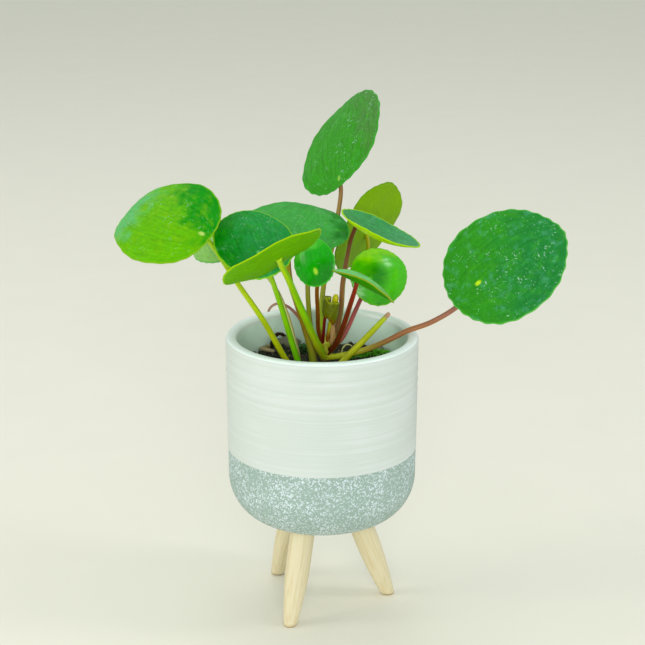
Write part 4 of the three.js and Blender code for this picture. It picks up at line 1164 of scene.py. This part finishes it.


# Blade skin, living and waxy: two greens that run into each other, with painted light and painted shade,
# painted sky sheen in pale clouds, pale water-pore specks, faint veins, a bright ring over the stalk and a
# thin pale margin. The underside is plain.
def matBlade(name, look, axes):
    material, tree = newMaterial(name)
    place = storedPlace(tree, "bladePlace")
    veinPlace = storedPlace(tree, "bladeVein")
    lateral, side = threeParts(tree, veinPlace)["Y"], threeParts(tree, veinPlace)["Z"]
    value = bladeStreaks(tree, place, veinPlace, look)
    vein = bladeVeins(tree, lateral, look)
    top = shaded(tree, bladeGreens(tree, place, veinPlace, look, axes), value)
    dark = tuple(c * 0.45 for c in linear(look["deep"])[:3]) + (1.0,)
    top = mixed(tree, vein, top, dark)
    # water pores: specks of 0.4 mm, drawn 1.1 mm by 0.5 mm so that they show, laid in four directions
    crowd = ranged(tree, cloudy(tree, place, 13, 2.0), (0.38, 0.6), (0.25, 1.15))
    for index, (turn, apart) in enumerate(blade["specks"]):
        speck = laidMarks(tree, place, (3.7 * index, 5.3 * index, 0), turn, (apart, 0.42 * apart), 0.35,
                          0.175, crowd, 0.13, 0.5 * look["specks"])
        top = mixed(tree, speck, top, linear(blade["speckColour"]))
    # the bright spot over the stalk, about 3.4 mm long with a soft halo
    spot = roundPatch(tree, place, (0, 0, 0), (0.85, 1.35, 0), (0.7, 2.1), 0.85)
    top = mixed(tree, spot, top, linear(look["spot"]))
    # the underside, with veins a little paler
    under = shaded(tree, linear(look["under"]), value)
    pale = tuple(min(1.0, c * 1.5 + 0.02) for c in linear(look["under"])[:3]) + (1.0,)
    under = mixed(tree, reckoned(tree, "MULTIPLY", vein, 0.9), under, pale)
    both = mixed(tree, ranged(tree, side, (0.4, 0.6)), top, under)
    # the margin, 1 mm wide
    half = look["length"] / 2
    edge = ranged(tree, threeParts(tree, place)["Z"], (1 - 1.0 / half, 1 - 0.25 / half), isSoft=True)
    surface(tree, {"Base Color": mixed(tree, edge, both, linear(look["rim"])),
                   "Roughness": look["roughness"], "Specular IOR Level": look["gloss"]})
    return material


def bladeHeight(look, x, y):
    half = look["length"] / 2
    centre = look["offset"] * look["length"]
    bend = (look["dome"][0] * (x - centre) ** 2 + look["dome"][1] * y ** 2) / half
    start = look["dome"][0] * centre ** 2 / half
    reach = np.hypot((x - centre) / half, y / (look["width"] / 2))
    turn = np.arctan2(y, x - centre)
    return start - bend + look["wave"] * reach ** 3 * np.sin(5 * turn + look["lean"])


# The blade laid flat: x towards the tip and y across, the share from its middle to the margin,
# and how far across each point lies, in half widths.
def bladeOutline(look):
    half, centre = look["length"] / 2, look["offset"] * look["length"]
    lip = blade["lip"] / half
    share = np.concatenate([np.linspace(blade["firstRing"], 1 - lip, blade["rings"]),
                            1 - lip * (1 - np.sin(np.radians([25, 50, 70, 90])))])
    angle = np.arange(blade["sectors"]) / blade["sectors"] * tau
    s, a = np.meshgrid(share, angle, indexing="ij")
    offTip = a - math.radians(look["pointTurn"])
    offTip = np.arctan2(np.sin(offTip), np.cos(offTip))
    pointed = look["point"] * np.exp(-(offTip / blade["tipWidth"]) ** 2) * s ** 2
    scallop = look["scallop"] / half * np.sin(blade["scallops"] * a + 3 * np.sin(2 * a)) * s ** 12
    reach = s * (1 + pointed) + scallop
    x = centre + half * reach * np.cos(a)
    y = look["width"] / 2 * reach * (1 - blade["egg"] * np.cos(a) * s) * np.sin(a)
    within = np.clip(1 - ((x - centre) / half) ** 2, 0.03, 1)
    return x, y, s, y / (look["width"] / 2) / np.sqrt(within)


# Both skins, a fan over each middle, and the margin between them.
def bladeFaces(rows, sectors):
    count = rows * sectors
    over = [face[::-1] for face in gridFaces(rows, sectors)]
    faces = over + [[i + count for i in face[::-1]] for face in over]
    last = count - sectors
    for i in range(sectors):
        j = (i + 1) % sectors
        faces.append([2 * count, i, j])
        faces.append([2 * count + 1, count + j, count + i])
        faces.append([last + i, last + i + count, last + j + count, last + j])
    return faces


def makeBlade(name, look):
    axes = bladeAxes(look)
    half, centre = look["length"] / 2, look["offset"] * look["length"]
    x, y, s, lateral = bladeOutline(look)
    z = bladeHeight(look, x, y)
    nudge = 0.01
    dx = (bladeHeight(look, x + nudge, y) - z) / nudge
    dy = (bladeHeight(look, x, y + nudge) - z) / nudge
    normal = np.stack([-dx, -dy, np.ones_like(dx)], -1)
    normal /= np.linalg.norm(normal, axis=-1)[..., None]
    # the veins lie in shallow grooves, the skin between them puckers, and the margin is rounded
    nearest = np.minimum(np.abs(lateral), np.abs(np.abs(lateral) - blade["sideVein"])) * look["width"] / 2
    groove = blade["veinDepth"] * np.exp(-(nearest / blade["veinWidth"]) ** 2) * (1 - s ** 6)
    pucker = blade["pucker"] * ripples(x, y, 0 * x, blade["puckerSize"], int(look["length"] * 10)) * s
    lip = blade["lip"] / half
    roll = np.sqrt(np.clip(1 - (np.clip((s - (1 - lip)) / lip, 0, 1)) ** 2, 0, 1))
    thick = (blade["half"] + (blade["edgeHalf"] - blade["half"]) * s ** 3) * (0.06 + 0.94 * roll)
    middle = np.stack([x, y, z], -1) + normal * pucker[..., None]
    upper = middle + normal * (thick - groove)[..., None]
    lower = middle - normal * (thick + 0.6 * groove)[..., None]
    local = np.concatenate([upper.reshape(-1, 3), lower.reshape(-1, 3),
                            upper[0].mean(0)[None], lower[0].mean(0)[None]])
    points = np.array(look["at"]) + local @ np.array(axes)
    flat = np.stack([x, y, s], -1).reshape(-1, 3)
    place = np.concatenate([flat, flat, [[centre, 0, 0]], [[centre, 0, 0]]])
    veins = np.stack([(x - centre) / half, lateral, 0 * x], -1).reshape(-1, 3)
    veinPlace = np.concatenate([veins, veins + [0, 0, 1], [[0, 0, 0]], [[0, 0, 1]]])
    piece = buildPiece(name, points, bladeFaces(*x.shape), [matBlade("waxy blade " + name, look, axes)],
                       None, {"bladePlace": place, "bladeVein": veinPlace}, isClosed=False)
    standsFor(piece, look["node"])


for name, look in leaves.items():
    makeBlade(name, look)

# The young blade is still rolled up: half is half its thickness; the roll takes rollShare of its width and
# winds rollTurn degrees round rollAt, and from there the rest opens as far as openTo.
scroll = {
    "centre": (4.4, -4, 163.6), "along": (0.1, 0.1, 1), "radius": 3.9, "height": 14, "half": 0.42,
    "rollRadius": 1.9, "rollShare": 0.45, "rollAt": -165, "rollTurn": 380, "openTo": 20,
    "turns": 110, "levels": 40,
    "olive": "#626c04", "brown": "#7c4c08", "edge": "#9ca414", "inner": "#848c10",
    "roughness": 0.42, "gloss": 0.12,
}


# Unrolling blade, living and smooth: olive with a brown foot and a lighter rolled edge.
def matScroll():
    material, tree = newMaterial("unrolling young blade")
    place = storedPlace(tree, "scrollPlace")
    lift, isInner = threeParts(tree, place)["Y"], threeParts(tree, place)["Z"]
    foot = ranged(tree, lift, (-0.5, -0.22), (0.9, 0.0), isSoft=True)
    colour = mixed(tree, foot, linear(scroll["olive"]), linear(scroll["brown"]))
    edge = ranged(tree, lift, (0.36, 0.5), (0.0, 0.8), isSoft=True)
    colour = mixed(tree, edge, colour, linear(scroll["edge"]))
    colour = mixed(tree, isInner, colour, linear(scroll["inner"]))
    # veins of the rolled blade, 0.9 mm apart
    veins = cloudy(tree, moved(tree, "MULTIPLY", place, (16, 3, 1)), 1.0, 3.0)
    value = ranged(tree, veins, (0.3, 0.7), (0.75, 1.25))
    surface(tree, {"Base Color": shaded(tree, colour, value), "Roughness": scroll["roughness"],
                   "Specular IOR Level": scroll["gloss"]})
    return material


def makeScroll():
    along = np.array(scroll["along"]) / np.linalg.norm(scroll["along"])
    # the shortest turn from straight up to the axis of the roll
    axis = np.cross([0, 0, 1], along)
    sine = np.linalg.norm(axis)
    axis, cosine = axis / sine, along[2]
    turns, levels = scroll["turns"], scroll["levels"]
    lift, share = np.meshgrid(np.linspace(-0.5, 0.5, levels + 1), np.linspace(0, 1, turns + 1),
                              indexing="ij")
    # a narrow roll on the left, then a wide turn round the front
    rolled = np.clip(1 - share / scroll["rollShare"], 0, 1)
    opened = np.clip((share - scroll["rollShare"]) / (1 - scroll["rollShare"]), 0, 1)
    a = np.radians(scroll["rollAt"] - scroll["rollTurn"] * rolled
                   + (scroll["openTo"] - scroll["rollAt"]) * opened)
    isRoll = (rolled > 0).astype(float)
    rollAt = math.radians(scroll["rollAt"])
    shift = isRoll * (scroll["radius"] - scroll["rollRadius"])
    wide = np.where(rolled > 0, scroll["rollRadius"] * (1 - 0.34 * rolled), scroll["radius"])
    close = 1 - 0.35 * np.maximum(0, -lift * 2) ** 2
    fall = np.clip((opened - 0.16) / 0.14, 0, 1)
    deeper = np.clip((opened - 0.3) / 0.3, 0, 1)
    lastCorner = 1 - 0.35 * np.clip((opened - 0.8) / 0.2, 0, 1) ** 2
    edge = np.where(lift > 0, 1 - 0.34 * fall, 0.6 + 0.45 * deeper) * lastCorner
    sheets = []
    for away in (scroll["half"], -scroll["half"]):
        r = wide * close + away * np.where(rolled > 0, 0.6, 1.0)
        r = r + 0.06 * np.sin(share * 60) * np.sin(lift * 9)
        p = np.stack([r * np.cos(a) + shift * close * math.cos(rollAt),
                      r * np.sin(a) + shift * close * math.sin(rollAt),
                      scroll["height"] * lift * edge], -1).reshape(-1, 3)
        p = p * cosine + np.cross(axis, p) * sine + np.outer(p @ axis, axis) * (1 - cosine)
        sheets.append(p + scroll["centre"])
    points = np.concatenate(sheets)
    flat = np.stack([share, lift, 0 * lift], -1).reshape(-1, 3)
    place = np.concatenate([flat, flat + [0, 0, 1]])
    faces = sheetFaces(levels + 1, turns + 1)
    piece = buildPiece("leafYoung", points, faces, [matScroll()], None, {"scrollPlace": place})
    standsFor(piece, "leaf_young")


makeScroll()

print("stage: floor, light and camera")
stage = {
    "floor": "#e9e6d6", "floorHalf": 4000, "floorRoughness": 0.85, "sky": "#eef4f5", "skyPower": 0.74,
    # each light: place, width, power in watts, colour
    "lights": {
        "softboxFront": ((90, -1500, 560), 620, 9.8, "#ffffff"),
        "softboxLeft": ((-1300, -250, 560), 600, 5, "#fffaf0"),
        "windowRight": ((1000, -130, 1080), 240, 2.2, "#ffffff"),
        "softboxBack": ((-150, 700, 1500), 1000, 4.5, "#f6faff"),
    },
    "aim": (0, 0, 150),
}


# Painted board, matt: pale and even, so that only the shadow shows on it.
def matFloor():
    material, tree = newMaterial("matt painted board")
    # roller marks 40 mm wide
    value = ranged(tree, cloudy(tree, objectPlace(tree), 40 * mm, 1.0), (0.0, 1.0), (0.985, 1.015))
    surface(tree, {"Base Color": shaded(tree, linear(stage["floor"]), value),
                   "Roughness": stage["floorRoughness"]})
    return material


def makeStage():
    half = stage["floorHalf"]
    corners = [(-half, -half, 0), (half, -half, 0), (half, half, 0), (-half, half, 0)]
    mesh = bpy.data.meshes.new("floor")
    mesh.from_pydata([tuple(c * mm for c in corner) for corner in corners], [], [[0, 1, 2, 3]])
    mesh.materials.append(matFloor())
    floor = bpy.data.objects.new("floor", mesh)
    bpy.context.scene.collection.objects.link(floor)
    world = bpy.data.worlds.new("studio")
    bpy.context.scene.world = world
    world.use_nodes = True
    background = world.node_tree.nodes["Background"]
    background.inputs["Color"].default_value = linear(stage["sky"])
    background.inputs["Strength"].default_value = stage["skyPower"]
    for name, (place, width, power, colour) in stage["lights"].items():
        data = bpy.data.lights.new(name, "AREA")
        data.shape = "SQUARE"
        data.size = width * mm
        data.energy = power
        data.color = linear(colour)[:3]
        light = bpy.data.objects.new(name, data)
        light.location = tuple(np.array(place) * mm + potAxis)
        away = np.array(place) - stage["aim"]
        yaw = math.atan2(away[0], -away[1])
        pitch = math.atan2(math.hypot(away[0], away[1]), away[2])
        light.rotation_euler = (pitch, 0, yaw)
        bpy.context.scene.collection.objects.link(light)


# The camera stands almost a metre away and looks down at the pot.
camera = {"place": (0.26, -990.1, 466.8), "lookDown": 17.45, "focal": 2003, "frame": 645, "sensor": 36}


def makeCamera():
    data = bpy.data.cameras.new("camera")
    data.sensor_width = camera["sensor"]
    data.lens = camera["focal"] / camera["frame"] * camera["sensor"]
    eye = bpy.data.objects.new("camera", data)
    eye.location = tuple(np.array(camera["place"]) * mm + potAxis)
    eye.rotation_euler = (math.radians(90 - camera["lookDown"]), 0, 0)
    bpy.context.scene.collection.objects.link(eye)
    bpy.context.scene.camera = eye


makeStage()
makeCamera()
bpy.context.scene.view_settings.view_transform = "Standard"

print("stage: finish")
